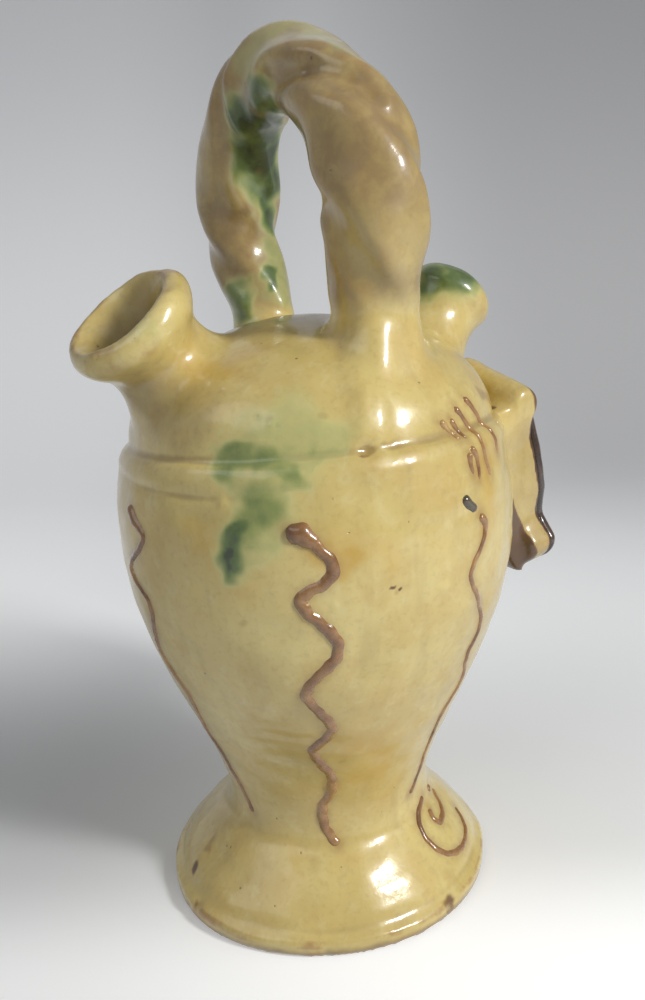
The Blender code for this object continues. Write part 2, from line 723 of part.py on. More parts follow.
def make_border(frame, material):
    face = CARTOUCHE_THICKNESS + GAP
    crest = face + BORDER_HEIGHT
    slab("cartouche_border", frame,
         ((face, BORDER_INSET), (crest, BORDER_INSET + BORDER_SLANT),
          (crest, BORDER_INSET + BORDER_WIDTH - BORDER_SLANT),
          (face, BORDER_INSET + BORDER_WIDTH)), material, closed=True)


def make_pad(frame, material):
    """Wad of clay between the slab's back and the belly, cut to the belly's curve."""
    middle = (CARTOUCHE_BOTTOM + CARTOUCHE_TOP) / 2
    pad = skin("cartouche_pad",
               [[frame @ Vector((x, y, z - middle))
                 for y, z in ((-PAD_HALF_WIDTH, PAD_BOTTOM), (PAD_HALF_WIDTH, PAD_BOTTOM),
                              (PAD_HALF_WIDTH, PAD_TOP), (-PAD_HALF_WIDTH, PAD_TOP))]
                for x in (-PAD_DEPTH, -GAP)], material)
    outline = belly_outline(-GAP)
    ends = [(0.0, outline[0][1])], [(0.0, outline[-1][1])]
    cut(pad, turned("belly_seat", ends[0] + outline + ends[1], place=belly_bend))


def make_roll(frame, material):
    """Rolled top of the cartouche, laid along its gable and thinner to the tips."""
    rings = []
    steps = 20
    around = 10
    tall = (CARTOUCHE_TOP - CARTOUCHE_BOTTOM) / 2
    slope = GABLE_FALL / (CARTOUCHE_HALF_WIDTH * GABLE_WIDTH)
    stretch = math.hypot(1.0, slope)
    for i in range(steps + 1):
        share = 2 * i / steps - 1
        radius = ROLL_RADIUS + (ROLL_TIP_RADIUS - ROLL_RADIUS) * share * share
        y = share * ROLL_HALF_LENGTH
        clear = (radius + GAP) * stretch
        if i in (0, steps):
            radius *= ROLL_END
        centre = Vector((CARTOUCHE_THICKNESS / 2, y, tall - slope * abs(y) + clear))
        rings.append([frame @ (centre + point) for point in circle(radius, 0.0, around, UPRIGHT)])
    return skin("cartouche_roll", rings, material)


def make_pellet(material):
    spine = []
    steps = 6
    length = math.degrees(PELLET_LENGTH / outside_radius(PELLET_HEIGHT))
    for i in range(steps + 1):
        share = 2 * i / steps - 1
        full = math.sqrt(max(1 - (PELLET_TAPER * share) ** 2, 0.0))
        spine.append((PELLET_AZIMUTH + share * length / 2,
                      PELLET_HEIGHT - PELLET_FALL * share / 2,
                      PELLET_WIDTH * full, PELLET_RISE * full))
    bead("slip_pellet", spine, material)


def glazed(word, base, shade, roughness):
    """Glaze of one sub-part: the shared colour, a little lighter or darker by hand."""
    return clay(word + "_glaze", tuple(value * shade for value in base), roughness)


def main():
    clear_scene()
    make_foot(glazed("foot", CREAM, 0.92, 0.24))
    make_belly(glazed("belly", CREAM, 1.00, 0.20))
    dome = make_dome(glazed("dome", CREAM, 1.04, 0.20))
    cut(dome, make_mouth(glazed("mouth", CREAM, 0.98, 0.21)))
    cut(dome, make_spout(glazed("spout", GREEN, 1.00, 0.19)))
    make_strand("handle_coil_left", glazed("coil_left", CREAM, 0.96, 0.22), 0.0)
    make_strand("handle_coil_right", glazed("coil_right", CREAM, 1.02, 0.22), math.pi)
    make_root("handle_root_front", glazed("root_front", CREAM, 0.99, 0.23), -1)
    make_root("handle_root_back", glazed("root_back", CREAM, 0.95, 0.23), 1)
    frame = cartouche_frame()
    make_plate(frame, glazed("plate", CREAM, 0.94, 0.23))
    make_border(frame, glazed("border", BROWN, 0.60, 0.26))
    make_pad(frame, glazed("pad", CREAM, 0.86, 0.27))
    make_roll(frame, glazed("roll", CREAM, 0.97, 0.22))
    for number, course in enumerate(TRAILS, 1):
        brown = glazed(f"trail_{number}", BROWN, 0.95 + 0.03 * number, 0.28)
        make_trail(f"slip_trail_{number}", brown, *course)
    for side, word in ((-1, "near"), (1, "far")):
        for number, ends in enumerate(STROKES, 1):
            brown = glazed(f"stroke_{word}_{number}", BROWN, 0.85 + 0.03 * number, 0.30)
            make_stroke(f"slip_stroke_{word}_{number}", brown, ends, side)
        make_snail(f"slip_snail_{word}", glazed(f"snail_{word}", BROWN, 1.05, 0.29), side)
    make_pellet(glazed("pellet", DARK, 1.00, 0.33))


main()
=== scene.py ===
"""Looks of the small clay water jug with the twisted handle.

The thrown body, the dome with its mouth, spout and handle, and the cartouche are drawn
again with the part's own sizes. Each is joined into one skin of clay, smoothed where wet
slip fills a crease, made a little uneven by hand, and glazed. The trails and strokes of
slip are then laid on that skin. Lengths are in metres.
"""

import math

import bpy
import numpy as np
from mathutils import Matrix, Vector
from mathutils.bvhtree import BVHTree
from mathutils.kdtree import KDTree


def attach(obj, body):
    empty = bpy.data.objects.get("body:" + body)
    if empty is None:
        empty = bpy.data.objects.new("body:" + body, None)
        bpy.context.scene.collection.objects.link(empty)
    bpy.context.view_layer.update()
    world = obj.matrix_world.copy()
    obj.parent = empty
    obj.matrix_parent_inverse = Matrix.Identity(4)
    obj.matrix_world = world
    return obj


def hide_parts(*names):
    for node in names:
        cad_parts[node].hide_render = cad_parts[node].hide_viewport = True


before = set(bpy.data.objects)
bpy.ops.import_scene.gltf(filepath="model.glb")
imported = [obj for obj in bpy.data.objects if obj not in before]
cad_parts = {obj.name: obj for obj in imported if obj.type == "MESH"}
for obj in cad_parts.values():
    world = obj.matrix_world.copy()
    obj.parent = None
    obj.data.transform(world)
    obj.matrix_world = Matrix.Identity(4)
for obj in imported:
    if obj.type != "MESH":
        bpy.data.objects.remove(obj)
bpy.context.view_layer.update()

# How far pieces of clay that join in one skin reach into each other
LAP = 0.0006

# Thrown foot
FOOT_RADIUS = 0.0562
FOOT_CHAMFER = 0.0014
FOOT_EDGE_HEIGHT = 0.0048
FOOT_EDGE_DRAW = 0.0004
FLARE_LOWER_INSET = 0.0070
FLARE_LOWER_RISE = 0.0088
FLARE_UPPER_SWELL = 0.0075
FLARE_UPPER_FALL = 0.0068
FOOT_FLARE_HEIGHT = 0.0268
FOOT_TOP = 0.0340
FOOT_FLOOR = 0.0080
FOOT_FLOOR_RADIUS = 0.0270
FOOT_CAVITY_RADIUS = 0.0370
FOOT_CAVITY_HEIGHT = 0.0150

# Thrown belly
WAIST_RADIUS = 0.0356
BELLY_RADIUS = 0.0655
BELLY_HEIGHT = 0.1300
BELLY_FULLNESS = 0.785
SHOULDER_DRAW = 0.0035
SHOULDER_RADIUS = BELLY_RADIUS - SHOULDER_DRAW
SHOULDER_EDGE_RADIUS = 0.0036
WALL = 0.0062

# Ledge where the dome sits, and the hand-made lean of all that stands on it
LEDGE_HEIGHT = 0.1597
LEAN_ANGLE = math.radians(3.0)
LEAN_AZIMUTH = math.radians(150.0)

# Dome
LEDGE_WIDTH = 0.0030
DOME_RADIUS = SHOULDER_RADIUS - LEDGE_WIDTH
DOME_HEIGHT = 0.0355
DOME_WALL = 0.0060

# Filling mouth
MOUTH_OVERHANG = 0.0010
MOUTH_REACH = DOME_RADIUS + MOUTH_OVERHANG
MOUTH_RISE = 0.0420
MOUTH_TURN = math.radians(15.0)
MOUTH_ELEVATION = math.radians(51.0)
MOUTH_LIP_RADIUS = 0.0211
MOUTH_NECK_RADIUS = 0.0157
MOUTH_NECK_DEPTH = 0.0150
MOUTH_THROAT_RADIUS = 0.0078
MOUTH_FUNNEL_DEPTH = 0.0150
MOUTH_SKIRT = 0.0065

# Drinking spout
SPOUT_OVERHANG = 0.0065
SPOUT_REACH = DOME_RADIUS + SPOUT_OVERHANG
SPOUT_RISE = 0.0419
SPOUT_ELEVATION = math.radians(50.0)
SPOUT_LIP_RADIUS = 0.0159
SPOUT_NECK_RADIUS = 0.0136
SPOUT_NECK_DEPTH = 0.0160
SPOUT_BORE_RADIUS = 0.0026
SPOUT_BORE_LENGTH = 0.0090
SPOUT_THROAT_RADIUS = 0.0060
SPOUT_SKIRT = 0.0060

# Handle, a low arch of two coils over the dome
HANDLE_CROWN = 0.1072
HANDLE_SQUARENESS = 2.07
HANDLE_SKEW = 0.0028
HANDLE_SHIFT = 0.0046
HANDLE_LEAN = math.radians(3.8)
HANDLE_FOOT_SPAN = 0.0360
HANDLE_SPAN = 0.0421
HANDLE_SPAN_HEIGHT = 0.0600
HANDLE_JOINT_HEIGHT = 0.0370
STRAND_THICKNESS = 0.0156
STRAND_WIDTH = 0.0292
STRAND_FLATNESS = 0.30
ROPE_AT_CROWN = 0.784
ROPE_AT_FOOT = 0.837
ROPE_TAPER = 0.135
STRAND_TURN = 0.0976
STRAND_PHASE = math.radians(-6.0)
SURGE_TURN = math.radians(45.0)
SURGE_PLACE = 0.0260
SURGE_LENGTH = 0.0200
SEAM_SHIFT = 0.0040
SEAM_LENGTH = 0.0240
ROOT_SKIRT = 0.0034
ROOT_TAIL = 0.0052
ROOT_TAIL_AZIMUTH = math.radians(-37.0)

# Cartouche under the spout
CARTOUCHE_HALF_WIDTH = 0.0300
CARTOUCHE_HEIGHT = 0.0645
CARTOUCHE_RISE = 0.0037
CARTOUCHE_TOP = LEDGE_HEIGHT + CARTOUCHE_RISE
CARTOUCHE_BOTTOM = CARTOUCHE_TOP - CARTOUCHE_HEIGHT
CARTOUCHE_THICKNESS = 0.0100
CARTOUCHE_OFFSET = 0.0010
CARTOUCHE_LEAN = math.radians(7.0)
CARTOUCHE_EDGE = 0.0012
BORDER_INSET = 0.0004
BORDER_WIDTH = 0.0032
BORDER_HEIGHT = 0.0020
GABLE_FALL = 0.0065
GABLE_WIDTH = 0.86
ROLL_RADIUS = 0.0066
ROLL_TIP_RADIUS = 0.0036
ROLL_HALF_LENGTH = 0.0315

# Marks of the wheel and of the hand
WHEEL_PITCH = 0.0064
LOWER_LINE_HEIGHT = 0.1494
FOOT_RIM_HEIGHT = 0.0046
FOOT_GROOVE_HEIGHT = 0.0080
FOOT_SWELL_AZIMUTH = 195.0

# Fineness of the skins
JUG_VOXEL = 0.0009
PLATE_VOXEL = 0.0006
BODY_AROUND = 180

# Photograph's camera: distance and height from the foot's centre, and its angles
CAMERA_DISTANCE = 0.2840
CAMERA_HEIGHT = 0.2021
CAMERA_PITCH = math.radians(13.6)
CAMERA_ROLL = math.radians(-2.42)
CAMERA_YAW = math.radians(0.50)
CAMERA_TURN = math.radians(-30.0)
CAMERA_FOCAL_PIXELS = 861.0
FRAME_HEIGHT_PIXELS = 1000
SENSOR = 36.0

# Lamps: name, azimuth and elevation in degrees, distance, watts, width, height and colour
LAMPS = (("window", -66.0, 28.0, 1.0, 7.0, 0.15, 0.24, (1.0, 0.99, 0.965)),
         ("fill", -172.0, 42.0, 1.2, 1.9, 1.0, 0.5, (1.0, 1.0, 1.0)),
         ("far side", 60.0, 30.0, 1.3, 0.9, 1.2, 1.2, (0.95, 0.97, 1.0)))
LAMP_AIM = 0.14

# Room round the jug: its colour, how strongly it lights, and how strongly it shows
ROOM_COLOUR = (0.84, 0.84, 0.85, 1.0)
ROOM_LIGHT = 0.25
ROOM_SHOWN = 0.45

# Floor and backdrop: where the floor starts and ends, the bend's radius and the top
FLOOR_NEAR = -2.5
FLOOR_FAR = 0.60
BACKDROP_BEND = 0.5
BACKDROP_TOP = 3.0
BACKDROP_HALF_WIDTH = 3.0


def smooth_curve(points, steps):
    """Catmull-Rom curve through the points, with a number of steps per span."""
    points = [Vector(point) for point in points]
    ends = [2 * points[0] - points[1]] + points + [2 * points[-1] - points[-2]]
    curve = []
    for a, b, c, d in zip(ends, ends[1:], ends[2:], ends[3:]):
        for i in range(steps):
            t = i / steps
            curve.append(0.5 * (2 * b + (c - a) * t + (2 * a - 5 * b + 4 * c - d) * t ** 2
                                + (3 * b - a - 3 * c + d) * t ** 3))
    curve.append(points[-1])
    return curve


def profile(points, steps):
    """The same curve through (radius, height) pairs."""
    curve = smooth_curve([(radius, 0, height) for radius, height in points], steps)
    return [(point.x, point.z) for point in curve]


LEAN_AXIS = Vector((-math.sin(LEAN_AZIMUTH), math.cos(LEAN_AZIMUTH), 0))
TOP_FRAME = (Matrix.Translation((0, 0, LEDGE_HEIGHT))
             @ Matrix.Rotation(LEAN_ANGLE, 4, LEAN_AXIS))


def on_top(point):
    return TOP_FRAME @ Vector(point)


def belly_bend(point):
    """Lift the upper belly into the plane of the leaning ledge."""
    share = (point.z - BELLY_HEIGHT) / (LEDGE_HEIGHT - BELLY_HEIGHT)
    share = min(max(share, 0.0), 1.0)
    share = share * share * (3 - 2 * share)
    along = point.x * math.cos(LEAN_AZIMUTH) + point.y * math.sin(LEAN_AZIMUTH)
    return Vector((point.x, point.y, point.z - along * math.tan(LEAN_ANGLE) * share))


def belly_radius(height):
    """Outer radius of the thrown body between the waist and the shoulder."""
    if height <= BELLY_HEIGHT:
        share = max(height - FOOT_TOP, 0.0) / (BELLY_HEIGHT - FOOT_TOP)
        swell = (1 - math.cos(math.pi * share ** BELLY_FULLNESS)) / 2
        return WAIST_RADIUS + (BELLY_RADIUS - WAIST_RADIUS) * swell
    shoulder = LEDGE_HEIGHT - SHOULDER_EDGE_RADIUS
    share = (height - BELLY_HEIGHT) / (shoulder - BELLY_HEIGHT)
    return BELLY_RADIUS - (BELLY_RADIUS - SHOULDER_RADIUS) * share ** 2


def circle(radius, height, around, place=None):
    if radius == 0.0:
        points = [Vector((0, 0, height))]
    else:
        points = [Vector((radius * math.cos(2 * math.pi * i / around),
                          radius * math.sin(2 * math.pi * i / around), height))
                  for i in range(around)]
    return [place @ point for point in points] if place else points


def surface_of(rings, closed=False):
    """Points and faces of a skin over rings; a ring of one point makes a fan."""
    rings = [list(ring) for ring in rings]
    if not closed:
        for end, at in ((rings[0], 0), (rings[-1], len(rings) + 1)):
            if len(end) > 1:
                rings.insert(at, [sum((Vector(point) for point in end), Vector()) / len(end)])
    points = []
    rows = []
    for ring in rings:
        rows.append(range(len(points), len(points) + len(ring)))
        points.extend(tuple(point) for point in ring)
    pairs = list(zip(rows, rows[1:]))
    if closed:
        pairs.append((rows[-1], rows[0]))
    faces = []
    for row_a, row_b in pairs:
        count = max(len(row_a), len(row_b))
        for i in range(count):
            j = (i + 1) % count
            corners = (row_a[i % len(row_a)], row_a[j % len(row_a)],
                       row_b[j % len(row_b)], row_b[i % len(row_b)])
            faces.append(tuple(dict.fromkeys(corners)))
    return points, faces


def volume(points, faces):
    """Signed volume inside the faces, to tell which way they look."""
    total = 0.0
    for face in faces:
        a = Vector(points[face[0]])
        for k in range(1, len(face) - 1):
            total += a.dot(Vector(points[face[k]]).cross(Vector(points[face[k + 1]])))
    return total


def body_of(name, parts):
    """One mesh object from several closed skins, all looking outward."""
    points = []
    faces = []
    for part_points, part_faces in parts:
        start = len(points)
        if volume(part_points, part_faces) < 0:
            part_faces = [face[::-1] for face in part_faces]
        points.extend(part_points)
        faces.extend(tuple(index + start for index in face) for face in part_faces)
    mesh = bpy.data.meshes.new(name)
    mesh.from_pydata([tuple(point) for point in points], [], faces)
    mesh.update()
    item = bpy.data.objects.new(name, mesh)
    bpy.context.collection.objects.link(item)
    return item


def finished_mesh(item):
    """The object's mesh with its modifiers worked out; the object itself is removed."""
    bpy.context.view_layer.update()
    graph = bpy.context.evaluated_depsgraph_get()
    mesh = bpy.data.meshes.new_from_object(item.evaluated_get(graph))
    bpy.data.objects.remove(item, do_unlink=True)
    return mesh


def fuse(name, parts, voxel):
    """Join closed skins into one skin of even quads."""
    item = body_of(name, parts)
    step = item.modifiers.new("one skin", 'REMESH')
    step.mode = 'VOXEL'
    step.voxel_size = voxel
    return finished_mesh(item)


class Clay:
    """Vertices, edges and faces of a mesh as arrays, for work on its shape."""

    def __init__(self, mesh):
        self.mesh = mesh
        count = len(mesh.vertices)
        flat = np.empty(count * 3, np.float32)
        mesh.vertices.foreach_get("co", flat)
        self.points = flat.reshape(-1, 3).astype(np.float64)
        edges = np.empty(len(mesh.edges) * 2, np.int32)
        mesh.edges.foreach_get("vertices", edges)
        self.edges = edges.reshape(-1, 2)
        self.degree = np.maximum(np.bincount(self.edges.ravel(), minlength=count), 1)
        mesh.calc_loop_triangles()
        corners = np.empty(len(mesh.loop_triangles) * 3, np.int32)
        mesh.loop_triangles.foreach_get("vertices", corners)
        self.corners = corners.reshape(-1, 3)

    def around(self, values):
        """Mean of the neighbours' values at each vertex."""
        count = len(self.points)
        a = self.edges[:, 0]
        b = self.edges[:, 1]
        if values.ndim == 1:
            total = (np.bincount(a, values[b], count) + np.bincount(b, values[a], count))
            return total / self.degree
        columns = [np.bincount(a, values[b, k], count) + np.bincount(b, values[a, k], count)
                   for k in range(3)]
        return np.stack(columns, 1) / self.degree[:, None]

    def outward(self):
        """Unit direction out of the clay at each vertex."""
        count = len(self.points)
        a, b, c = (self.points[self.corners[:, k]] for k in range(3))
        face = np.cross(b - a, c - a)
        total = np.zeros_like(self.points)
        for k in range(3):
            for axis in range(3):
                total[:, axis] += np.bincount(self.corners[:, k], face[:, axis], count)
        return total / np.maximum(np.linalg.norm(total, axis=1), 1e-12)[:, None]

    def smooth(self, passes, weight=1.0):
        """Even out small steps without shrinking the form."""
        weight = np.broadcast_to(np.asarray(weight, float), (len(self.points),))[:, None]
        for _ in range(passes):
            for push in (0.55, -0.57):
                self.points += (self.around(self.points) - self.points) * push * weight

    def fill(self, passes, weight, keep=0.12):
        """Fill creases as wet slip does, and hardly touch what stands out."""
        for step in range(passes):
            if step % 5 == 0:
                out = self.outward()
            move = self.around(self.points) - self.points
            hollow = (move * out).sum(1) > 0
            self.points += move * (np.where(hollow, 0.9, keep) * weight)[:, None]

    def push(self, amount):
        """Move each vertex along its outward direction."""
        self.points += self.outward() * amount[:, None]

    def hollowness(self, passes, scale):
        """How deep each vertex lies in a hollow (over 0) or on an edge (under 0)."""
        far = self.points
        for _ in range(passes):
            far = self.around(far)
        depth = ((far - self.points) * self.outward()).sum(1) / scale
        return np.clip(depth, -1.0, 1.0)

    def write(self):
        self.mesh.vertices.foreach_set("co", self.points.astype(np.float32).ravel())
        self.mesh.update()

    def mark(self, name, values):
        attribute = self.mesh.attributes.new(name, 'FLOAT', 'POINT')
        attribute.data.foreach_set("value", values.astype(np.float32))


def ripple(points, size, seed, count=22):
    """Smooth uneven field with features of about a size, from waves in all directions."""
    draw = np.random.default_rng(seed)
    total = np.zeros(len(points))
    for _ in range(count):
        heading = draw.normal(size=3)
        heading /= np.linalg.norm(heading)
        wave = heading * 2 * math.pi / (size * draw.uniform(0.7, 1.5))
        total += np.sin(points @ wave + draw.uniform(0, 2 * math.pi))
    return total / math.sqrt(count / 2)


def uneven(points, *waves):
    """Sum of ripples, each a (height, size, seed)."""
    return sum(height * ripple(points, size, seed) for height, size, seed in waves)


def ease(value, low, high):
    """Share that rises smoothly from 0 at the low value to 1 at the high one."""
    share = np.clip((value - low) / (high - low), 0, 1)
    return share * share * (3 - 2 * share)


def fade(value, low, high):
    """Share that falls smoothly from 1 at the low value to 0 at the high one."""
    return 1 - ease(value, low, high)


def bell(value, width):
    """Share that is 1 where the value is 0 and falls off over a width."""
    return np.exp(-(value / width) ** 2)


def local(points, place):
    """Points in the frame of a placed piece."""
    return (points - np.array(place.translation)) @ np.array(place.to_3x3())


def stirred(points, seed):
    """Points moved about a little, so that what is drawn by distance gets a ragged edge."""
    moved = points.copy()
    for axis in range(3):
        moved[:, axis] += 0.0016 * ripple(points, 0.015, seed + axis)
        moved[:, axis] += 0.0006 * ripple(points, 0.005, seed + 10 + axis)
    return moved


def course_strength(points, courses, edge=1.35):
    """Strength of soft marks along courses, each (x, y, z, x, y, z, radius, peak) in millimetres.
    """
    total = np.zeros(len(points))
    for ax, ay, az, bx, by, bz, radius, peak in courses:
        start = np.array((ax, ay, az)) / 1000
        along = np.array((bx, by, bz)) / 1000 - start
        share = np.clip((points - start) @ along / max(along @ along, 1e-12), 0, 1)
        gap = np.linalg.norm(points - start - share[:, None] * along, axis=1)
        strength = peak * fade(gap * 1000 / radius, 0.25, edge)
        total = np.maximum(total, strength)
    return total


def mound(clay, spots):
    """Raise or press small places, each (x, y, z, radius, height) in millimetres."""
    amount = np.zeros(len(clay.points))
    for x, y, z, radius, height in spots:
        gap = np.linalg.norm(clay.points - np.array((x, y, z)) / 1000, axis=1)
        amount += height / 1000 * bell(gap, radius / 1000)
    clay.push(amount)


def object_of(name, mesh, material, slot, *nodes):
    """Make a piece of the scene from a mesh, and hide the CAD nodes that it stands for."""
    mesh.materials.clear()
    mesh.materials.append(material)
    mesh.shade_smooth()
    item = bpy.data.objects.new(name, mesh)
    bpy.context.collection.objects.link(item)
    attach(item, "root")
    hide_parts(*nodes)
    return item


# Body, thrown on the wheel

def body_outline():
    """(radius, height) points from the underside up the outside to the dome's foot."""
    rim = FOOT_RADIUS - FOOT_EDGE_DRAW
    edge = profile([(FOOT_RADIUS - 2.0 * FOOT_CHAMFER, 0.0),
                    (FOOT_RADIUS - 0.5 * FOOT_CHAMFER, 0.3 * FOOT_CHAMFER),
                    (FOOT_RADIUS, 1.6 * FOOT_CHAMFER),
                    (rim, FOOT_EDGE_HEIGHT)], 4)
    flare = profile([(rim, FOOT_EDGE_HEIGHT),
                     (FOOT_RADIUS - FLARE_LOWER_INSET, FOOT_EDGE_HEIGHT + FLARE_LOWER_RISE),
                     (WAIST_RADIUS + FLARE_UPPER_SWELL, FOOT_FLARE_HEIGHT - FLARE_UPPER_FALL),
                     (WAIST_RADIUS, FOOT_FLARE_HEIGHT)], 7)
    top = LEDGE_HEIGHT - SHOULDER_EDGE_RADIUS
    rise = top - FOOT_FLARE_HEIGHT
    steps = 70
    belly = [(belly_radius(height), height)
             for height in (FOOT_FLARE_HEIGHT + rise * i / steps for i in range(steps))]
    bead = profile([(SHOULDER_RADIUS, top),
                    (SHOULDER_RADIUS - 0.0006, top + 0.0020),
                    (SHOULDER_RADIUS - 0.0019, top + 0.0032),
                    (DOME_RADIUS + 0.0002, LEDGE_HEIGHT - 0.0002),
                    (DOME_RADIUS - 0.0012, LEDGE_HEIGHT + 0.0012)], 4)
    return [(0.0, 0.0)] + edge[:-1] + flare[:-1] + belly + bead


def body_inside():
    """(radius, height) points of the room inside, from the dome's foot down."""
    top = LEDGE_HEIGHT - SHOULDER_EDGE_RADIUS
    steps = 30
    wall = [(belly_radius(height) - WALL, height)
            for height in (top - (top - FOOT_TOP) * i / steps for i in range(steps + 1))]
    hollow = profile([(WAIST_RADIUS - WALL, FOOT_FLARE_HEIGHT),
                      (FOOT_CAVITY_RADIUS, FOOT_CAVITY_HEIGHT),
                      (FOOT_FLOOR_RADIUS, FOOT_FLOOR)], 5)
    start = (DOME_RADIUS - DOME_WALL + 0.0015, LEDGE_HEIGHT + 0.0010)
    return [start] + wall + hollow + [(0.0, FOOT_FLOOR)]


def body_skin():
    return surface_of([[belly_bend(point) for point in circle(radius, height, BODY_AROUND)]
                       for radius, height in body_outline() + body_inside()])


def handwork(clay, rise, on_handle):
    """Unevenness of a hand-thrown jug: ridges of the wheel, soft dents, a foot out of round."""
    points = clay.points
    x, y, height = points.T
    turn = np.arctan2(y, x)
    away = (np.degrees(turn) + 360) % 360
    standing = ease(height, 0.0, 0.006)
    outside = ease(np.hypot(x, y), 0.028, 0.031)

    wheel = np.sin(2 * math.pi * (height / WHEEL_PITCH + turn / (2 * math.pi))
                   + 1.3 * ripple(points, 0.040, 5))
    wheel = wheel * fade(height, LEDGE_HEIGHT - 0.008, LEDGE_HEIGHT)
    amount = uneven(points, (0.00032, 0.048, 1), (0.00009, 0.014, 2))
    amount += 0.00004 * wheel * ease(ripple(points, 0.05, 9), -0.5, 0.8)
    amount = amount * (1 - on_handle)
    amount += on_handle * uneven(points, (0.00025, 0.030, 21), (0.00006, 0.010, 22))

    side = ease(away, 150, 165) * fade(away, 205, 232)
    lower_line = LOWER_LINE_HEIGHT + 0.0008 * np.sin(3 * turn)
    amount -= 0.00035 * side * outside * bell(height - lower_line, 0.0014)
    bead = bell(rise + 0.0052, 0.0024) * outside
    amount += 0.00055 * bead * (1 + 0.3 * ripple(points, 0.03, 12))
    amount -= 0.00045 * bell(rise + 0.0002, 0.0015) * outside
    amount += 0.0005 * bell(height - FOOT_RIM_HEIGHT, 0.0013) * outside
    amount -= 0.0004 * bell(height - FOOT_GROOVE_HEIGHT, 0.0016) * outside
    clay.push(amount * standing)

    swell = ((away - FOOT_SWELL_AZIMUTH + 180) % 360 - 180) / 34
    amount = 0.0026 * bell(swell, 1.0) * fade(height, 0.006, 0.018)
    amount = amount * ease(np.hypot(x, y), 0.030, 0.050)
    clay.points[:, 0] += amount * np.cos(turn)
    clay.points[:, 1] += amount * np.sin(turn)


# Top: dome, mouth, spout and handle in one skin

def dome_outline(shrink, steps):
    points = [(DOME_RADIUS - shrink, -0.0030)]
    for i in range(steps):
        turn = math.pi / 2 * i / steps
        points.append(((DOME_RADIUS - shrink) * math.cos(turn),
                       (DOME_HEIGHT - shrink) * math.sin(turn)))
    return points + [(0.0, DOME_HEIGHT - shrink)]


def neck_frame(reach, rise, elevation, side, turn=0.0):
    """Frame at the centre of a lip, with +Z out along the neck, in the dome's frame."""
    tilt = Matrix.Rotation(side * (math.pi / 2 - elevation), 4, 'Y')
    return Matrix.Translation((side * reach, 0, rise)) @ Matrix.Rotation(turn, 4, 'Z') @ tilt


def seat_on_dome(place, radius, angle):
    """Where a line parallel to a piece's axis meets the dome, a lap under its surface."""
    start = place @ Vector((radius * math.cos(angle), radius * math.sin(angle), 0))
    along = place.to_3x3() @ Vector((0, 0, -1))
    width = DOME_RADIUS - LAP
    height = DOME_HEIGHT - LAP
    scaled = Vector((start.x / width, start.y / width, start.z / height))
    course = Vector((along.x / width, along.y / width, along.z / height))
    a = course.dot(course)
    b = 2 * scaled.dot(course)
    c = scaled.dot(scaled) - 1
    reach = (-b - math.sqrt(max(b * b - 4 * a * c, 0.0))) / (2 * a)
    return start + along * reach


def skirt_rings(place, radius_at, depth, skirt_at, around, hollow, steps=9):
    """Rings from a neck's side down to a flared edge on the dome, and back under it."""
    rings = [[] for _ in range(steps)]
    under = [1.0, 0.72, 0.42] if hollow == 0.0 else [1.0, 0.55, 0.0]
    beneath = [[] for _ in under]
    for i in range(around):
        angle = 2 * math.pi * i / around
        radius = radius_at(angle)
        spread = radius + skirt_at(angle)
        top = place @ Vector((radius * math.cos(angle), radius * math.sin(angle), -depth))
        straight = seat_on_dome(place, radius, angle)
        corner = straight.lerp(top, 0.30)
        edge = seat_on_dome(place, spread, angle)
        for k in range(steps):
            t = k / steps
            rings[k].append(on_top(top * (1 - t) ** 2 + corner * 2 * t * (1 - t)
                                   + edge * t ** 2))
        for k, share in enumerate(under):
            low = seat_on_dome(place, hollow + (spread - hollow) * share, angle)
            beneath[k].append(on_top(low * (1 - 0.012)))
    if hollow == 0.0:
        beneath.append([on_top(seat_on_dome(place, 0.0, 0.0) * (1 - 0.012))])
    return rings + beneath


def bore(place, radius, around):
    middle = place.inverted() @ seat_on_dome(place, 0.0, 0.0)
    reach = 2.5 * DOME_WALL
    at = TOP_FRAME @ place @ Matrix.Translation((0, 0, middle.z))
    return surface_of([circle(radius, reach, around, at), circle(radius, -reach, around, at)])


def pierced_dome():
    """The dome's shell with the holes under the mouth and the spout."""
    around = 144
    rings = [circle(radius, height, around, TOP_FRAME) for radius, height in
             dome_outline(DOME_WALL, 30)[::-1] + dome_outline(0.0, 48)]
    item = body_of("dome shape", [surface_of(rings)])
    cutters = []
    for name, place, radius in (("mouth hole", MOUTH, MOUTH_THROAT_RADIUS),
                                ("spout hole", SPOUT, SPOUT_THROAT_RADIUS)):
        cutter = body_of(name, [bore(place, radius, 48)])
        step = item.modifiers.new(name, 'BOOLEAN')
        step.operation = 'DIFFERENCE'
        step.solver = 'EXACT'
        step.object = cutter
        cutters.append(cutter)
    mesh = finished_mesh(item)
    for cutter in cutters:
        bpy.data.objects.remove(cutter, do_unlink=True)
    return ([tuple(vertex.co) for vertex in mesh.vertices],
            [tuple(face.vertices) for face in mesh.polygons])


MOUTH = neck_frame(MOUTH_REACH, MOUTH_RISE, MOUTH_ELEVATION, -1, MOUTH_TURN)
SPOUT = neck_frame(SPOUT_REACH, SPOUT_RISE, SPOUT_ELEVATION, 1)


def neck_skin(place, line, radius, depth, skirt, hollow, around):
    """A neck turned from (radius, height) points, with the skirt that seats it."""
    rings = [circle(*point, around, TOP_FRAME @ place) for point in line]
    rings += skirt_rings(place, lambda angle: radius, depth, lambda angle: skirt, around, hollow)
    return surface_of(rings, closed=True)


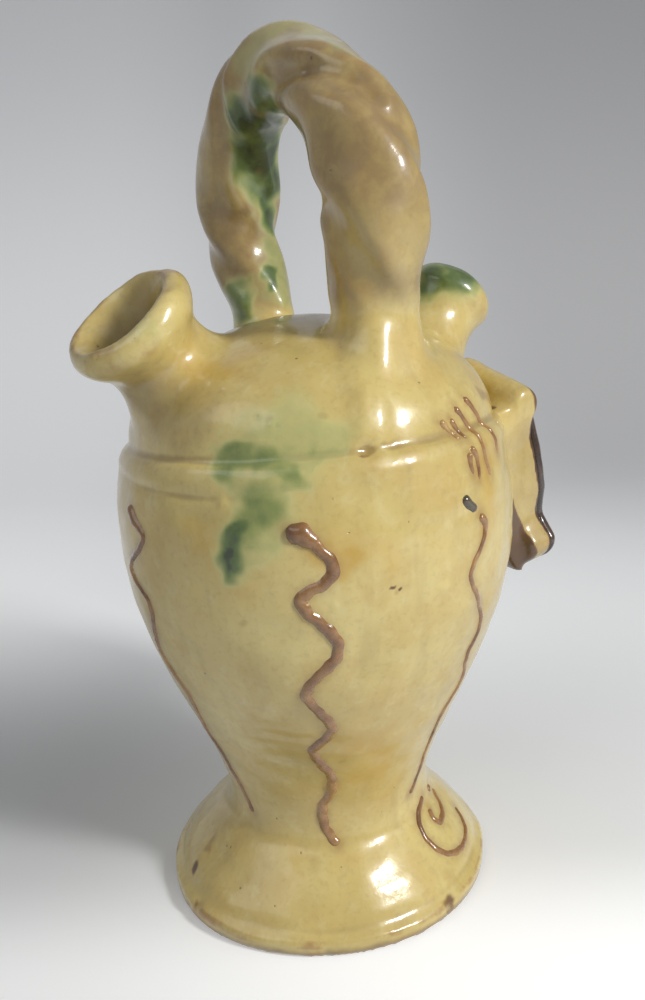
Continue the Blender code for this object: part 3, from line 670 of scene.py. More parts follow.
def mouth_skin():
    lip = MOUTH_LIP_RADIUS
    crest = lip - 0.0045
    line = profile([(MOUTH_THROAT_RADIUS, -MOUTH_FUNNEL_DEPTH),
                    (MOUTH_THROAT_RADIUS * 1.30, -MOUTH_FUNNEL_DEPTH * 0.62),
                    (crest * 0.80, -MOUTH_FUNNEL_DEPTH * 0.22),
                    (crest, 0.0),
                    (lip - 0.0013, -0.0013),
                    (lip, -0.0044),
                    (lip - 0.0008, -0.0080),
                    (lip - 0.0033, -0.0116),
                    (MOUTH_NECK_RADIUS, -MOUTH_NECK_DEPTH)], 5)
    return neck_skin(MOUTH, line[:-1], MOUTH_NECK_RADIUS, MOUTH_NECK_DEPTH, MOUTH_SKIRT,
                     MOUTH_THROAT_RADIUS, 96)


def spout_skin():
    lip = SPOUT_LIP_RADIUS
    line = profile([(SPOUT_BORE_RADIUS, -lip * 0.20),
                    (SPOUT_BORE_RADIUS * 1.5, -lip * 0.04),
                    (lip * 0.58, 0.0),
                    (lip * 0.90, -lip * 0.22),
                    (lip, -lip * 0.55),
                    (SPOUT_NECK_RADIUS * 1.06, -SPOUT_NECK_DEPTH * 0.72),
                    (SPOUT_NECK_RADIUS, -SPOUT_NECK_DEPTH)], 5)
    inside = [(SPOUT_THROAT_RADIUS, -SPOUT_NECK_DEPTH), (SPOUT_BORE_RADIUS, -SPOUT_BORE_LENGTH)]
    return neck_skin(SPOUT, inside + line[:-1], SPOUT_NECK_RADIUS, SPOUT_NECK_DEPTH, SPOUT_SKIRT,
                     SPOUT_THROAT_RADIUS, 72)


def arch_path(count):
    """Even points along the handle's centreline, each with its distance from the crown."""
    side = []
    steps = 40
    for i in range(steps):
        share = i / steps
        bulge = (1 - math.cos(share * math.pi)) / 2
        side.append((HANDLE_FOOT_SPAN + (HANDLE_SPAN - HANDLE_FOOT_SPAN) * bulge,
                     HANDLE_JOINT_HEIGHT + (HANDLE_SPAN_HEIGHT - HANDLE_JOINT_HEIGHT) * share,
                     0.0))
    steps = 120
    for i in range(steps + 1):
        turn = math.pi / 2 * i / steps
        rise = math.sin(turn) ** (2 / HANDLE_SQUARENESS)
        side.append((HANDLE_SPAN * abs(math.cos(turn)) ** (2 / HANDLE_SQUARENESS),
                     HANDLE_SPAN_HEIGHT + (HANDLE_CROWN - HANDLE_SPAN_HEIGHT) * rise,
                     HANDLE_SKEW * rise))
    path = [Vector((0, skew - y, z)) for y, z, skew in side]
    path += [Vector((0, skew + y, z)) for y, z, skew in side[-2::-1]]
    lengths = [0.0]
    for a, b in zip(path, path[1:]):
        lengths.append(lengths[-1] + (b - a).length)
    even = []
    k = 0
    for i in range(count):
        want = lengths[-1] * i / (count - 1)
        while k < len(path) - 2 and lengths[k + 1] < want:
            k += 1
        share = (want - lengths[k]) / (lengths[k + 1] - lengths[k])
        even.append((path[k].lerp(path[k + 1], share), want - lengths[-1] / 2))
    return even


def rope_fullness(share):
    half = math.cos(math.pi * share)
    if abs(share) < 0.5:
        full = 1 - (1 - ROPE_AT_CROWN) * half
    else:
        full = 1 - (1 - ROPE_AT_FOOT) * half * half
    return full * (1 - ROPE_TAPER * (1 + share) / 2)


def rope_twist(along):
    surge = SURGE_TURN * math.exp(-((along - SURGE_PLACE) / SURGE_LENGTH) ** 2)
    return STRAND_PHASE + surge + 2 * math.pi * along / STRAND_TURN


def handle_lean(point):
    rise = point.z - HANDLE_JOINT_HEIGHT
    return point + Vector((HANDLE_SHIFT - rise * math.tan(HANDLE_LEAN), 0, 0))


def strand_skin(half_turn):
    """One of the two clay coils that twist round each other along the arch."""
    path = arch_path(181)
    length = path[-1][1]
    rings = []
    around = 48
    for i, (centre, along) in enumerate(path):
        if 0 < i < len(path) - 1:
            ahead = path[i + 1][0] - path[i - 1][0]
        else:
            ahead = Vector((0, 0, -along))
        side = Vector((1, 0, 0))
        out = side.cross(ahead).normalized()
        twist = rope_twist(along) + half_turn
        across = side * math.cos(twist) + out * math.sin(twist)
        upright = out * math.cos(twist) - side * math.sin(twist)
        full = rope_fullness(along / length)
        thick = STRAND_THICKNESS * full
        seam = -math.cos(half_turn) * SEAM_SHIFT * math.exp(-(along / SEAM_LENGTH) ** 2)
        ring = []
        for j in range(around):
            angle = 2 * math.pi * (j + 0.5) / around
            flat = math.cos(angle)
            if flat < 0:
                flat = -(-flat) ** STRAND_FLATNESS
            reach = -LAP / 2 + seam + (thick - seam) / 2 * (1 + flat)
            rise = STRAND_WIDTH / 2 * full * math.sin(angle)
            ring.append(on_top(handle_lean(centre + across * reach + upright * rise)))
        rings.append(ring)
    return surface_of(rings)


def root_skin(side):
    """Foot of the handle, thumbed onto the dome, with a drawn-down tail."""
    place = Matrix.Translation((HANDLE_SHIFT, side * HANDLE_FOOT_SPAN,
                                HANDLE_JOINT_HEIGHT + LAP))
    twist = rope_twist(side * arch_path(2)[1][1])
    full = rope_fullness(side)

    def rope(angle):
        turn = angle - side * twist
        return full / math.hypot(math.cos(turn) / STRAND_THICKNESS,
                                 math.sin(turn) / (STRAND_WIDTH / 2))

    def skirt(angle):
        outward = side * math.pi / 2 + ROOT_TAIL_AZIMUTH
        return ROOT_SKIRT + ROOT_TAIL * max(math.cos(angle - outward), 0.0) ** 12

    return surface_of(skirt_rings(place, rope, 0.0, skirt, 96, 0.0))


def creases(points, rise):
    """How much wet slip fills the hollows at each point, and which points are the handle's."""
    x, y, z = points.T
    weight = 0.06 + 0.12 * bell(rise, 0.005) + 0.44 * ease(rise, 0.004, 0.012)
    weight += 0.9 * bell(z - FOOT_FLARE_HEIGHT - 0.001, 0.0075)
    near = fade(np.abs(x - HANDLE_SHIFT), 0.026, 0.034)
    on_handle = near * ease(rise, HANDLE_JOINT_HEIGHT - 0.004, HANDLE_JOINT_HEIGHT + 0.006)
    crown = ease(rise, 0.086, 0.100)
    legs = np.where(y < 0, 1.00, 0.80) * (1 - crown) + 0.34 * crown
    handle = np.maximum(legs, bell(rise - HANDLE_JOINT_HEIGHT, 0.013))
    weight += (handle - weight) * near * ease(rise, 0.022, 0.034)
    x, y, z = local(points, TOP_FRAME @ MOUTH).T
    room = np.interp(-z, (0.0, 0.009, 0.015, 0.030), (0.0172, 0.0140, 0.0116, 0.0116))
    inside = (np.hypot(x, y) < room) & (np.abs(z + 0.013) < 0.017)
    x, y, z = local(points, TOP_FRAME @ SPOUT).T
    inside |= (np.hypot(x, y) < 0.0092) & (np.abs(z + 0.013) < 0.017)
    weight[inside] = 0.0
    return weight, on_handle


def make_jug(material):
    """The whole thrown and luted jug as one skin of clay."""
    skins = [body_skin(), pierced_dome(), mouth_skin(), spout_skin(), strand_skin(0.0),
             strand_skin(math.pi), root_skin(-1), root_skin(1)]
    clay = Clay(fuse("jug shape", skins, JUG_VOXEL))
    clay.smooth(4)
    rise = local(clay.points, TOP_FRAME)[:, 2]
    weight, on_handle = creases(clay.points, rise)
    clay.fill(44, weight)
    clay.fill(100, on_handle * weight)
    mound(clay, MOUNDS)
    x, y, z = local(clay.points, TOP_FRAME @ MOUTH).T
    rim = bell(np.hypot(x, y) - MOUTH_LIP_RADIUS + 0.0030, 0.0030) * bell(z + 0.0008, 0.0030)
    clay.push(rim * uneven(clay.points, (0.00022, 0.018, 51), (0.00006, 0.006, 52)))
    clay.push(0.0011 * course_strength(clay.points, TAIL) - 0.0018 * course_strength(clay.points, VALLEY))
    clay.smooth(3)
    handwork(clay, rise, on_handle)
    height = clay.points[:, 2]
    height[height < 0.0005] = 0.0
    clay.write()
    clay.mark("hollow", clay.hollowness(9, 0.00040))
    points = stirred(clay.points, 60)
    clay.mark("copper", course_strength(points, COPPER, 1.6))
    worn = 0.34 * rim ** 2 * ease(ripple(clay.points, 0.008, 53), -0.8, 1.4)
    clay.mark("iron_and_shade", np.maximum(course_strength(points, IRON_AND_SHADE, 1.15), worn))
    clay.mark("amber", course_strength(points, AMBER, 1.6))
    clay.mark("throat_glaze_and_shade", course_strength(points, throat_courses()))
    # The handle's glaze is browned and darkened all over: its brownish glaze with painted shade
    brown_glaze_and_shade = on_handle * np.clip(0.93 + 0.16 * ripple(clay.points, 0.034, 71), 0, 1)
    clay.mark("brown_glaze_and_shade", np.maximum(brown_glaze_and_shade, course_strength(points, BROWN_GLAZE_AND_SHADE, 1.6)))
    item = object_of("jug_body", clay.mesh, material, "belly", "foot", "belly",
                     "shoulder_dome", "filling_mouth", "drinking_spout", "handle_coil_left",
                     "handle_coil_right", "handle_root_front", "handle_root_back")
    return item, clay


# Small places raised or pressed, in millimetres: x, y, z, radius, height
MOUNDS = ((3.1, -64.4, 119.4, 1.5, 0.55), (-12.1, -63.6, 121.1, 1.0, -0.35),
          (-50.8, -37.8, 148.1, 1.6, 0.45), (-54.5, -8.9, 5.5, 1.6, -0.9),
          (-28.9, -57.7, 119.7, 0.9, 0.45), (-51.6, 2.0, 10.1, 2.4, -0.35),
          (-55.5, -3.0, 2.6, 1.4, -0.6), (13.6, -53.6, 4.4, 2.0, -0.5),
          (-30.0, -46.5, 2.2, 1.8, -0.5), (40.0, 38.0, 3.0, 2.2, -0.8),
          (0.2, -45.5, 248.4, 3.4, 1.3), (-16.4, -57.6, 160.8, 2.4, -1.2),
          (-37.4, -43.0, 168.4, 0.8, 0.4), (-12.0, -27.0, 242.0, 6.5, -1.6),
          (-12.5, -27.5, 234.0, 6.0, -1.9),
          (-12.5, -28.5, 220.5, 6.0, 1.7), (-12.5, -29.0, 211.0, 6.5, 1.7),
          (-39.9, -39.4, 169.9, 0.9, -0.5))

# Tail of clay drawn down from the handle's front root to the ledge
TAIL = ((-7.5, -46.0, 188, -11.0, -52.0, 176, 7.5, 0.8),
        (-11.0, -52.0, 176, -14.8, -57.2, 164.5, 6.0, 1.0))

# Valley pressed under the coil that passes in front of the crown
VALLEY = ((-16.5, -12.0, 262.0, -11.5, -27.0, 259.5, 4.6, 0.8),
          (-11.5, -27.0, 259.5, -4.5, -38.0, 255.0, 4.6, 1.0),
          (-4.5, -38.0, 255.0, -1.8, -42.5, 250.0, 4.0, 0.8))

# Stains in the glaze and painted shade, in millimetres: from x, y, z to x, y, z, radius, strength.
# Green splashes of copper come first
COPPER = ((-39, -41, 168, -26, -52, 164.0, 10.0, 0.44),
          (-39.9, -39.4, 169.9, -39.5, -39.8, 169.8, 2.0, 0.44),
          (-37.4, -43.0, 168.4, -37.0, -43.4, 168.2, 2.6, 0.50),
          (-46.5, -38.0, 158.0, -34, -50.5, 157.6, 6.4, 0.66),
          (-33, -51, 158.4, -21, -55.5, 159.6, 2.8, 0.46),
          (-42, -45.5, 156, -43.6, -45.5, 150, 7.0, 0.56),
          (-44.5, -45.5, 147, -47.5, -44, 139, 10.0, 0.64),
          (-49.0, -42.5, 138.0, -50.5, -41.0, 135.0, 7.5, 0.84),
          (-51.2, -40.3, 134.8, -50.4, -41.0, 135.6, 4.0, 1.0),
          (43, -4, 206, 58, -9, 207, 10.5, 0.82), (52, 0, 212, 58, 10, 209, 8.5, 0.60),
          (-60.6, -18.2, 193.9, -60.0, -18.0, 195.0, 4.5, 0.30),
          (-15, -3, 260, -9.3, 10.9, 254.8, 7.0, 0.86),
          (-9.3, 10.9, 254.8, -2.1, 20.9, 247.9, 10.0, 0.95),
          (-2.1, 20.9, 247.9, 4.2, 28.3, 239.7, 10.0, 0.97),
          (4.2, 28.3, 239.7, 5.5, 33.5, 228.0, 6.0, 0.90),
          (6.2, 30.8, 218.5, 5.6, 30.0, 204.5, 8.0, 0.50),
          (2.8, 26.7, 206.7, 3.4, 27.4, 208.0, 4.0, 0.84),
          (-8.7, 32.3, 203.1, -10.2, 34.1, 195.0, 7.0, 0.74),
          (-16, -1, 268.7, -6, -14, 275, 8.0, 0.34), (-6, -14, 275, -4, -38, 266, 7.0, 0.36),
          (14, -42, 235, 14, -42, 233, 2.6, 0.85),
          (30, 40, 172, 38, 44, 158, 9.0, 0.50), (38, 46, 156, 41, 47, 142, 6.0, 0.62),
          (41, 47.5, 141, 41, 48, 138, 3.4, 0.95), (-30, 42, 172, -36, 42, 166, 8.0, 0.40))
# Brownish glaze with painted shade on the handle: between its roots, in the valley under the crown
# coil and down the far leg, and on the mouth's neck
BROWN_GLAZE_AND_SHADE = ((-3, -20, 193, -6, 8, 194, 13.0, 0.8),
        (-16.5, -12.0, 262.0, -4.5, -38.0, 255.0, 6.0, 1.0),
        (-8, 22, 240, -8, 30, 205, 12.0, 0.8), (-60, 0, 176, -52, -22, 172, 10.0, 0.5))

# Honey patches, where the glaze is thick
AMBER = ((-28.5, -58.7, 136, -26.2, -59.8, 131, 4.6, 0.95),
         (-24, -60, 137, -16, -62, 133, 8.0, 0.55),
         (22.5, -60, 150, 23, -60.7, 136, 6.5, 0.62), (-12, -43, 66, -6, -42, 56, 13.0, 0.55),
         (-57.4, -29.8, 140, -56, -32, 136, 5.0, 0.45), (-44, -15, 186, -40, -20, 186, 8.0, 0.55),
         (-10, -38, 48, -4, -38, 42, 10.0, 0.40), (4, 64, 134, 14, 62, 124, 12.0, 0.5),
         (38, 18, 64, 34, 20, 52, 12.0, 0.5), (-8, -36, 225, -6, -38, 205, 6.0, 0.30))

# Dark brown specks and smears, and the shade behind the cartouche
IRON_AND_SHADE = ((-16.4, -57.6, 160.4, -15.6, -57.9, 161.4, 2.6, 1.0),
        (-14, -58, 162.5, -10, -58.5, 164, 3.2, 0.50),
        (-15.8, 2.6, 262.0, -14.0, 6.0, 258.6, 6.0, 0.34),
        (62, -12, 152, 62, 12, 152, 17.0, 0.95),
        (61, -8, 128, 61, 8, 128, 15.0, 0.90), (33, -44.4, 172.0, 42, -41.0, 164.5, 5.0, 0.34),
        (-51.6, 1.0, 10.1, -51.2, 2.6, 10.6, 3.8, 0.78),
        (-46.6, 2.9, 17.1, -45.6, 4.0, 18.0, 4.0, 0.34),
        (-54.5, -8.9, 5.5, -54.7, -8.4, 5.7, 1.5, 0.8),
        (11, -54, 4.2, 17, -52.6, 4.6, 2.4, 0.55),
        (-8.8, -48.8, 183.9, -7.0, -49.0, 184.1, 0.9, 0.85),
        (-12.9, -63.6, 121.6, -11.4, -63.8, 120.6, 0.6, 1.0),
        (-7.5, -45.3, 18.3, -7.3, -45.4, 18.6, 1.5, 0.8))


def throat_courses():
    """Where the mouth's funnel and the spout's bore are darkened, as courses: brown glaze, with
    painted shade deep in the openings.
    """
    courses = []
    place = TOP_FRAME @ MOUTH
    for near, far, radius, peak in (((0, 0, -0.010), (0, 0, -0.030), 8.8, 1.0),
                                    ((0.004, -0.012, -0.0045), (0.011, -0.008, -0.0045), 4.0, 0.75),
                                    ((0.0, 0.0, -0.004), (0.0, 0.001, -0.004), 16.0, 0.52)):
        ends = (place @ Vector(near)) * 1000, (place @ Vector(far)) * 1000
        courses.append((*ends[0], *ends[1], radius, peak))
    point = (TOP_FRAME @ SPOUT @ Vector((0, 0, -0.0015))) * 1000
    courses.append((*point, *point, 3.6, 1.0))
    return courses


# Cartouche

def cartouche_frame():
    middle = (CARTOUCHE_BOTTOM + CARTOUCHE_TOP) / 2
    return (Matrix.Translation((BELLY_RADIUS + CARTOUCHE_OFFSET, 0, middle))
            @ Matrix.Rotation(-CARTOUCHE_LEAN, 4, 'Y'))


def cartouche_edge(inset=0.0, steps=8):
    """Outline of the shield as (y, z) about its middle, from the top round to the top."""
    half = CARTOUCHE_HALF_WIDTH - inset
    tall = (CARTOUCHE_TOP - CARTOUCHE_BOTTOM) / 2 - inset
    eaves = tall - GABLE_FALL
    side = [Vector((0, half * share * GABLE_WIDTH, tall - GABLE_FALL * share))
            for share in (0.02, 0.2, 0.4, 0.6, 0.8)]
    side += smooth_curve([(0, half * GABLE_WIDTH, eaves),
                          (0, half * 0.95, tall * 0.35),
                          (0, half * 0.97, -tall * 0.02),
                          (0, half * 0.91, -tall * 0.36),
                          (0, half * 1.08, -tall * 0.66),
                          (0, half * 0.80, -tall * 0.90),
                          (0, half * 0.10, -tall * 1.00)], steps)
    return [(p.y, p.z) for p in side] + [(-p.y, p.z) for p in side[::-1]]


PLATE = cartouche_frame()


def slab_skin(levels):
    rings = [[PLATE @ Vector((x, y, z)) for y, z in cartouche_edge(inset)]
             for x, inset in levels]
    return surface_of(rings)


def roll_skin():
    """Rolled top of the cartouche, laid along its gable and thinner to the tips."""
    rings = []
    steps = 60
    tall = (CARTOUCHE_TOP - CARTOUCHE_BOTTOM) / 2
    slope = GABLE_FALL / (CARTOUCHE_HALF_WIDTH * GABLE_WIDTH)
    stretch = math.hypot(1.0, slope)
    upright = Matrix.Rotation(math.pi / 2, 4, 'X')
    for i in range(steps + 1):
        share = 2 * i / steps - 1
        radius = ROLL_RADIUS + (ROLL_TIP_RADIUS - ROLL_RADIUS) * 0.35 * share * share
        y = share * (ROLL_HALF_LENGTH - 0.0010)
        clear = (radius - LAP) * stretch
        if i in (0, steps):
            radius *= 0.85
        centre = Vector((CARTOUCHE_THICKNESS / 2, y, tall - slope * abs(y) + clear))
        rings.append([PLATE @ (centre + point) for point in circle(radius, 0.0, 36, upright)])
    return surface_of(rings)


def pad_skin():
    """Wad of clay that fills the room between the slab's back and the belly."""
    side = [(LAP, -0.031), (-0.002, -0.030), (-0.006, -0.022), (-0.0115, -0.009),
            (-0.0135, 0.006), (-0.0135, 0.030), (LAP, 0.031)]
    rings = []
    for y, inset in ((-0.0284, 0.0022), (-0.0276, 0.0), (0.0276, 0.0), (0.0284, 0.0022)):
        rings.append([PLATE @ Vector((x, y * (0.93 if z < -0.012 else 1.0), z - inset * (z > 0)))
                      for x, z in side])
    return surface_of(rings)


def web_skin(side):
    """Clay drawn from the roll's end down the slab's side."""
    section = ((-0.0120, 0.031), (-0.0115, 0.012), (0.0085, 0.016), (0.0105, 0.026),
               (0.0095, 0.031))
    rings = []
    for y, share in ((0.0180, 1.0), (0.0262, 1.0), (0.0282, 0.8), (0.0292, 0.5)):
        rings.append([PLATE @ Vector((-0.001 + (x + 0.001) * (0.7 + 0.3 * share), side * y,
                                      0.031 - (0.031 - z) * share)) for x, z in section])
    return surface_of(rings)


def edge_gap(points):
    """Distance of each point from the slab's outline, across the slab."""
    line = np.array(cartouche_edge())
    ends = np.roll(line, -1, axis=0)
    gap = np.full(len(points), 1.0)
    for start, end in zip(line, ends):
        along = end - start
        share = np.clip((points - start) @ along / max(along @ along, 1e-12), 0, 1)
        gap = np.minimum(gap, np.linalg.norm(points - start - share[:, None] * along, axis=1))
    return gap


def make_cartouche(material):
    edge = CARTOUCHE_EDGE
    slab = slab_skin(((0.0, edge), (edge * 0.4, edge * 0.3), (edge, 0.0),
                      (CARTOUCHE_THICKNESS - edge, 0.0),
                      (CARTOUCHE_THICKNESS - edge * 0.4, edge * 0.3),
                      (CARTOUCHE_THICKNESS, edge)))
    skins = [slab, roll_skin(), pad_skin(), web_skin(-1), web_skin(1)]
    clay = Clay(fuse("cartouche shape", skins, PLATE_VOXEL))
    clay.smooth(4)
    clay.fill(110, np.full(len(clay.points), 1.0), 0.10)
    clay.push(uneven(clay.points, (0.00022, 0.025, 31), (0.00004, 0.006, 32)))
    clay.write()
    clay.mark("hollow", clay.hollowness(10, 0.00035))
    place = local(clay.points, PLATE)
    x, y, z = place.T
    wave = uneven(clay.points, (0.00035, 0.016, 35), (0.00012, 0.004, 36))

    # Dark moulded edge; the slab's back and underside in brown glaze with painted shade; painted
    # shadow on the roll's back; and the roll's brown tips
    front = ease(x + wave, CARTOUCHE_THICKNESS - 0.0027, CARTOUCHE_THICKNESS - 0.0021)
    brown = front * fade(edge_gap(place[:, 1:]), 0.0035, 0.0045) * fade(z, 0.025, 0.028)
    back_line = np.clip(-0.0039 - 0.306 * z, -0.0073, 0.0032) + wave
    # Brown glaze with painted shade on the slab's back and underside, low down against the belly
    low = fade(x, back_line - 0.0005, back_line + 0.0004) * fade(z, 0.022, 0.026)
    # Painted shadow behind the roll, on the top of the pad
    top = ease(z, 0.026, 0.029) * fade(x, -0.0055, -0.0035) * fade(np.abs(y), 0.0245, 0.0265)
    tips = (ease(np.abs(y), 0.0235, 0.0275) * ease(z, 0.022, 0.026)
            * ease(x + wave, CARTOUCHE_THICKNESS - 0.0030, CARTOUCHE_THICKNESS - 0.0008))
    clay.mark("iron_and_shade", np.maximum.reduce((brown, 0.8 * low, top, 0.8 * tips)))
    # The cartouche is tinted darker tan below its roll; the roll stays pale
    clay.mark("brown_glaze_and_shade", 0.5 * fade(z, 0.018, 0.026))
    return object_of("cartouche", clay.mesh, material, "cartouche_plate",
                     "cartouche_plate", "cartouche_pad", "cartouche_roll")


def make_border(material):
    """Brown moulding round the slab's front edge, rounded and a little wavy."""
    face = CARTOUCHE_THICKNESS - 0.0006
    around = 14
    rings = []
    outer = cartouche_edge(BORDER_INSET - 0.0004)
    inner = cartouche_edge(BORDER_INSET + BORDER_WIDTH)
    for k in range(around):
        turn = 2 * math.pi * k / around
        across = (1 - math.cos(turn)) / 2
        lift = math.sin(turn)
        ring = []
        for i, (a, b) in enumerate(zip(outer, inner)):
            wave = 1 + 0.10 * math.sin(i * 0.9) * math.sin(i * 0.37 + 1)
            y = a[0] + (b[0] - a[0]) * across
            z = a[1] + (b[1] - a[1]) * across
            x = face + 0.0008 + (BORDER_HEIGHT * wave if lift > 0 else 0.0014) * lift
            ring.append(PLATE @ Vector((x, y, z)))
        rings.append(ring)
    mesh = finished_mesh(body_of("border shape", [surface_of(rings, closed=True)]))
    return object_of("cartouche_moulding", mesh, material, "cartouche_border",
                     "cartouche_border")


# Trails and strokes of slip

class Ground:
    """The glazed skin that slip is laid on."""

    def __init__(self, items):
        points = []
        faces = []
        for item in items:
            start = len(points)
            points.extend(vertex.co.copy() for vertex in item.data.vertices)
            faces.extend(tuple(index + start for index in face.vertices)
                         for face in item.data.polygons)
        self.tree = BVHTree.FromPolygons(points, faces)

    def at(self, azimuth, height):
        """Point and outward direction of the outside at an azimuth in degrees."""
        turn = math.radians(azimuth)
        out = Vector((math.cos(turn), math.sin(turn), 0))
        start = out * 0.12 + Vector((0, 0, height))
        point, normal, _, _ = self.tree.ray_cast(start, -out)
        return point, normal


# Half of a bead's section from its sunk edge up, as shares of its width and rise
BEAD = ((-0.62, -0.30), (-0.52, 0.02), (-0.43, 0.42), (-0.30, 0.76), (-0.15, 0.95), (0.0, 1.0),
        (0.15, 0.95), (0.30, 0.76), (0.43, 0.42), (0.52, 0.02), (0.62, -0.30))


def bead_skin(ground, path, size_at, seed):
    """Bead of slip along (azimuth, height) points; size_at gives width and rise by share."""
    course = smooth_curve([(azimuth, height * 1000, 0) for azimuth, height in path], 10)
    spots = [ground.at(point.x, point.y / 1000) for point in course]
    lengths = [0.0]
    for (a, _), (b, _) in zip(spots, spots[1:]):
        lengths.append(lengths[-1] + (b - a).length)
    draw = np.random.default_rng(seed)
    phases = draw.uniform(0, 2 * math.pi, 4)
    rings = []
    for i, (point, _) in enumerate(spots):
        first = max(i - 3, 0)
        last = min(i + 3, len(spots) - 1)
        out = sum((normal for _, normal in spots[first:last + 1]), Vector()).normalized()
        ahead = (spots[min(i + 1, len(spots) - 1)][0] - spots[max(i - 1, 0)][0]).normalized()
        across = ahead.cross(out).normalized()
        share = lengths[i] / lengths[-1]
        width, rise = size_at(share, lengths[i], lengths[-1])
        along = lengths[i] * 1000
        wobble = (1 + 0.07 * math.sin(along * 0.5 + phases[0])
                  + 0.03 * math.sin(along * 1.3 + phases[1]))
        shift = 0.05 * math.sin(along * 1.3 + phases[2])
        rings.append([point + across * width * wobble * (x + shift) + out * rise * wobble * y
                      for x, y in BEAD])
    return surface_of(rings), [point for point, _ in spots]


def rounded_end(gap, reach):
    """Share of full size at a distance from a bead's end, rounded over a reach."""
    t = min(max(gap / reach, 0.0), 1.0)
    return max(math.sqrt(1 - (1 - t) ** 2), 0.16)


def trail_size(width, rise, head_width, head_rise, head_length, end=0.55):
    def size(share, along, length):
        head = max(1 - along / head_length, 0.0) ** 0.6 if head_length else 0.0
        taper = 1 - (1 - end) * share ** 1.5
        full = (rounded_end(along, max(0.0012, 0.55 * head_width))
                * rounded_end(length - along, max(0.0010, 0.5 * width * end)))
        return ((width + (head_width - width) * head) * taper * full,
                (rise + (head_rise - rise) * head) * taper * full)
    return size


def wavy_path(head_azimuth, end_azimuth, top, bottom, phase):
    """Course of a trail that swings from side to side on its way down."""
    path = []
    steps = 40
    length = top - bottom
    for i in range(steps + 1):
        share = i / steps
        height = top - length * share
        azimuth = head_azimuth + (end_azimuth - head_azimuth) * share
        swing = 0.0047 * (1 - 0.60 * share)
        wave = math.sin(2 * math.pi * length * share / 0.0262 + math.radians(phase))
        radius = max(belly_radius(height), WAIST_RADIUS)
        path.append((azimuth + math.degrees(swing * wave / radius), height))
    return path


# Courses of the slip that the photograph shows, as (azimuth, height) in degrees and metres
TRAIL_CENTRE = ((-127.2, 0.1412), (-123.2, 0.1395), (-120.3, 0.1367), (-116.5, 0.1312),
                (-118.0, 0.1268), (-121.9, 0.1243), (-124.4, 0.1219), (-123.2, 0.1180),
                (-119.4, 0.1137), (-116.1, 0.1083), (-116.4, 0.1032), (-119.9, 0.0985),
                (-123.4, 0.0943), (-125.0, 0.0896), (-122.6, 0.0848), (-118.0, 0.0768),
                (-120.3, 0.0713), (-125.1, 0.0660), (-122.4, 0.0596), (-118.4, 0.0539),
                (-118.6, 0.0464), (-122.9, 0.0408), (-122.9, 0.0336), (-119.6, 0.0290),
                (-116.0, 0.0262))
TRAIL_RIGHT = ((-73.4, 0.1380), (-71.5, 0.1338), (-73.6, 0.1288), (-76.9, 0.1236),
               (-77.1, 0.1190), (-72.6, 0.1118), (-67.6, 0.1040), (-66.6, 0.0974),
               (-68.2, 0.0930), (-68.0, 0.0880), (-65.6, 0.0830), (-65.0, 0.0780),
               (-67.5, 0.0720), (-68.5, 0.0650), (-66.0, 0.0580), (-63.5, 0.0500),
               (-62.0, 0.0440), (-65.4, 0.0369), (-68.8, 0.0345))
TRAIL_LEFT = ((-178.8, 0.1425), (-176.6, 0.1400), (-173.9, 0.1376), (-171.0, 0.1349),
              (-173.4, 0.1307), (-179.7, 0.1253), (-181.6, 0.1216), (-177.8, 0.1176),
              (-173.8, 0.1139), (-174.0, 0.1080), (-177.0, 0.1010), (-179.5, 0.0940),
              (-176.5, 0.0860), (-173.5, 0.0790), (-175.5, 0.0710), (-178.0, 0.0630),
              (-176.0, 0.0550), (-174.6, 0.0484), (-172.2, 0.0430), (-169.4, 0.0378),
              (-165.3, 0.0322))
STROKES = (((-82.1, 0.1656), (-79.6, 0.1632), (-77.3, 0.1600)),
           ((-77.8, 0.1656), (-76.2, 0.1632), (-74.8, 0.1600)),
           ((-74.4, 0.1686), (-70.4, 0.1630), (-68.6, 0.1556), (-66.8, 0.1480)),
           ((-68.3, 0.1707), (-63.6, 0.1648), (-61.2, 0.1590), (-59.4, 0.1530)),
           ((-75.6, 0.1562), (-75.4, 0.1530), (-74.9, 0.1500)),
           ((-74.2, 0.1577), (-72.3, 0.1535), (-72.3, 0.1480)))
SNAIL = ((-54.6, 0.0285), (-61.0, 0.0268), (-66.4, 0.0246), (-69.4, 0.0212), (-67.8, 0.0166),
         (-62.8, 0.0133), (-54.7, 0.0116), (-46.0, 0.0118), (-40.6, 0.0138), (-36.2, 0.0169))
HOOK = ((-54.9, 0.0243), (-57.6, 0.0222), (-55.3, 0.0203), (-50.0, 0.0206), (-45.3, 0.0217),
        (-41.0, 0.0238), (-38.0, 0.0252))
DAB = ((-40.6, 0.0276), (-44.8, 0.0270))
HIDDEN_TRAILS = ((127.0, 130.0, 0.1400, 0.0290, 70.0), (75.0, 70.0, 0.1385, 0.0320, 150.0))


def mirrored(path):
    return tuple((-azimuth, height) for azimuth, height in path)


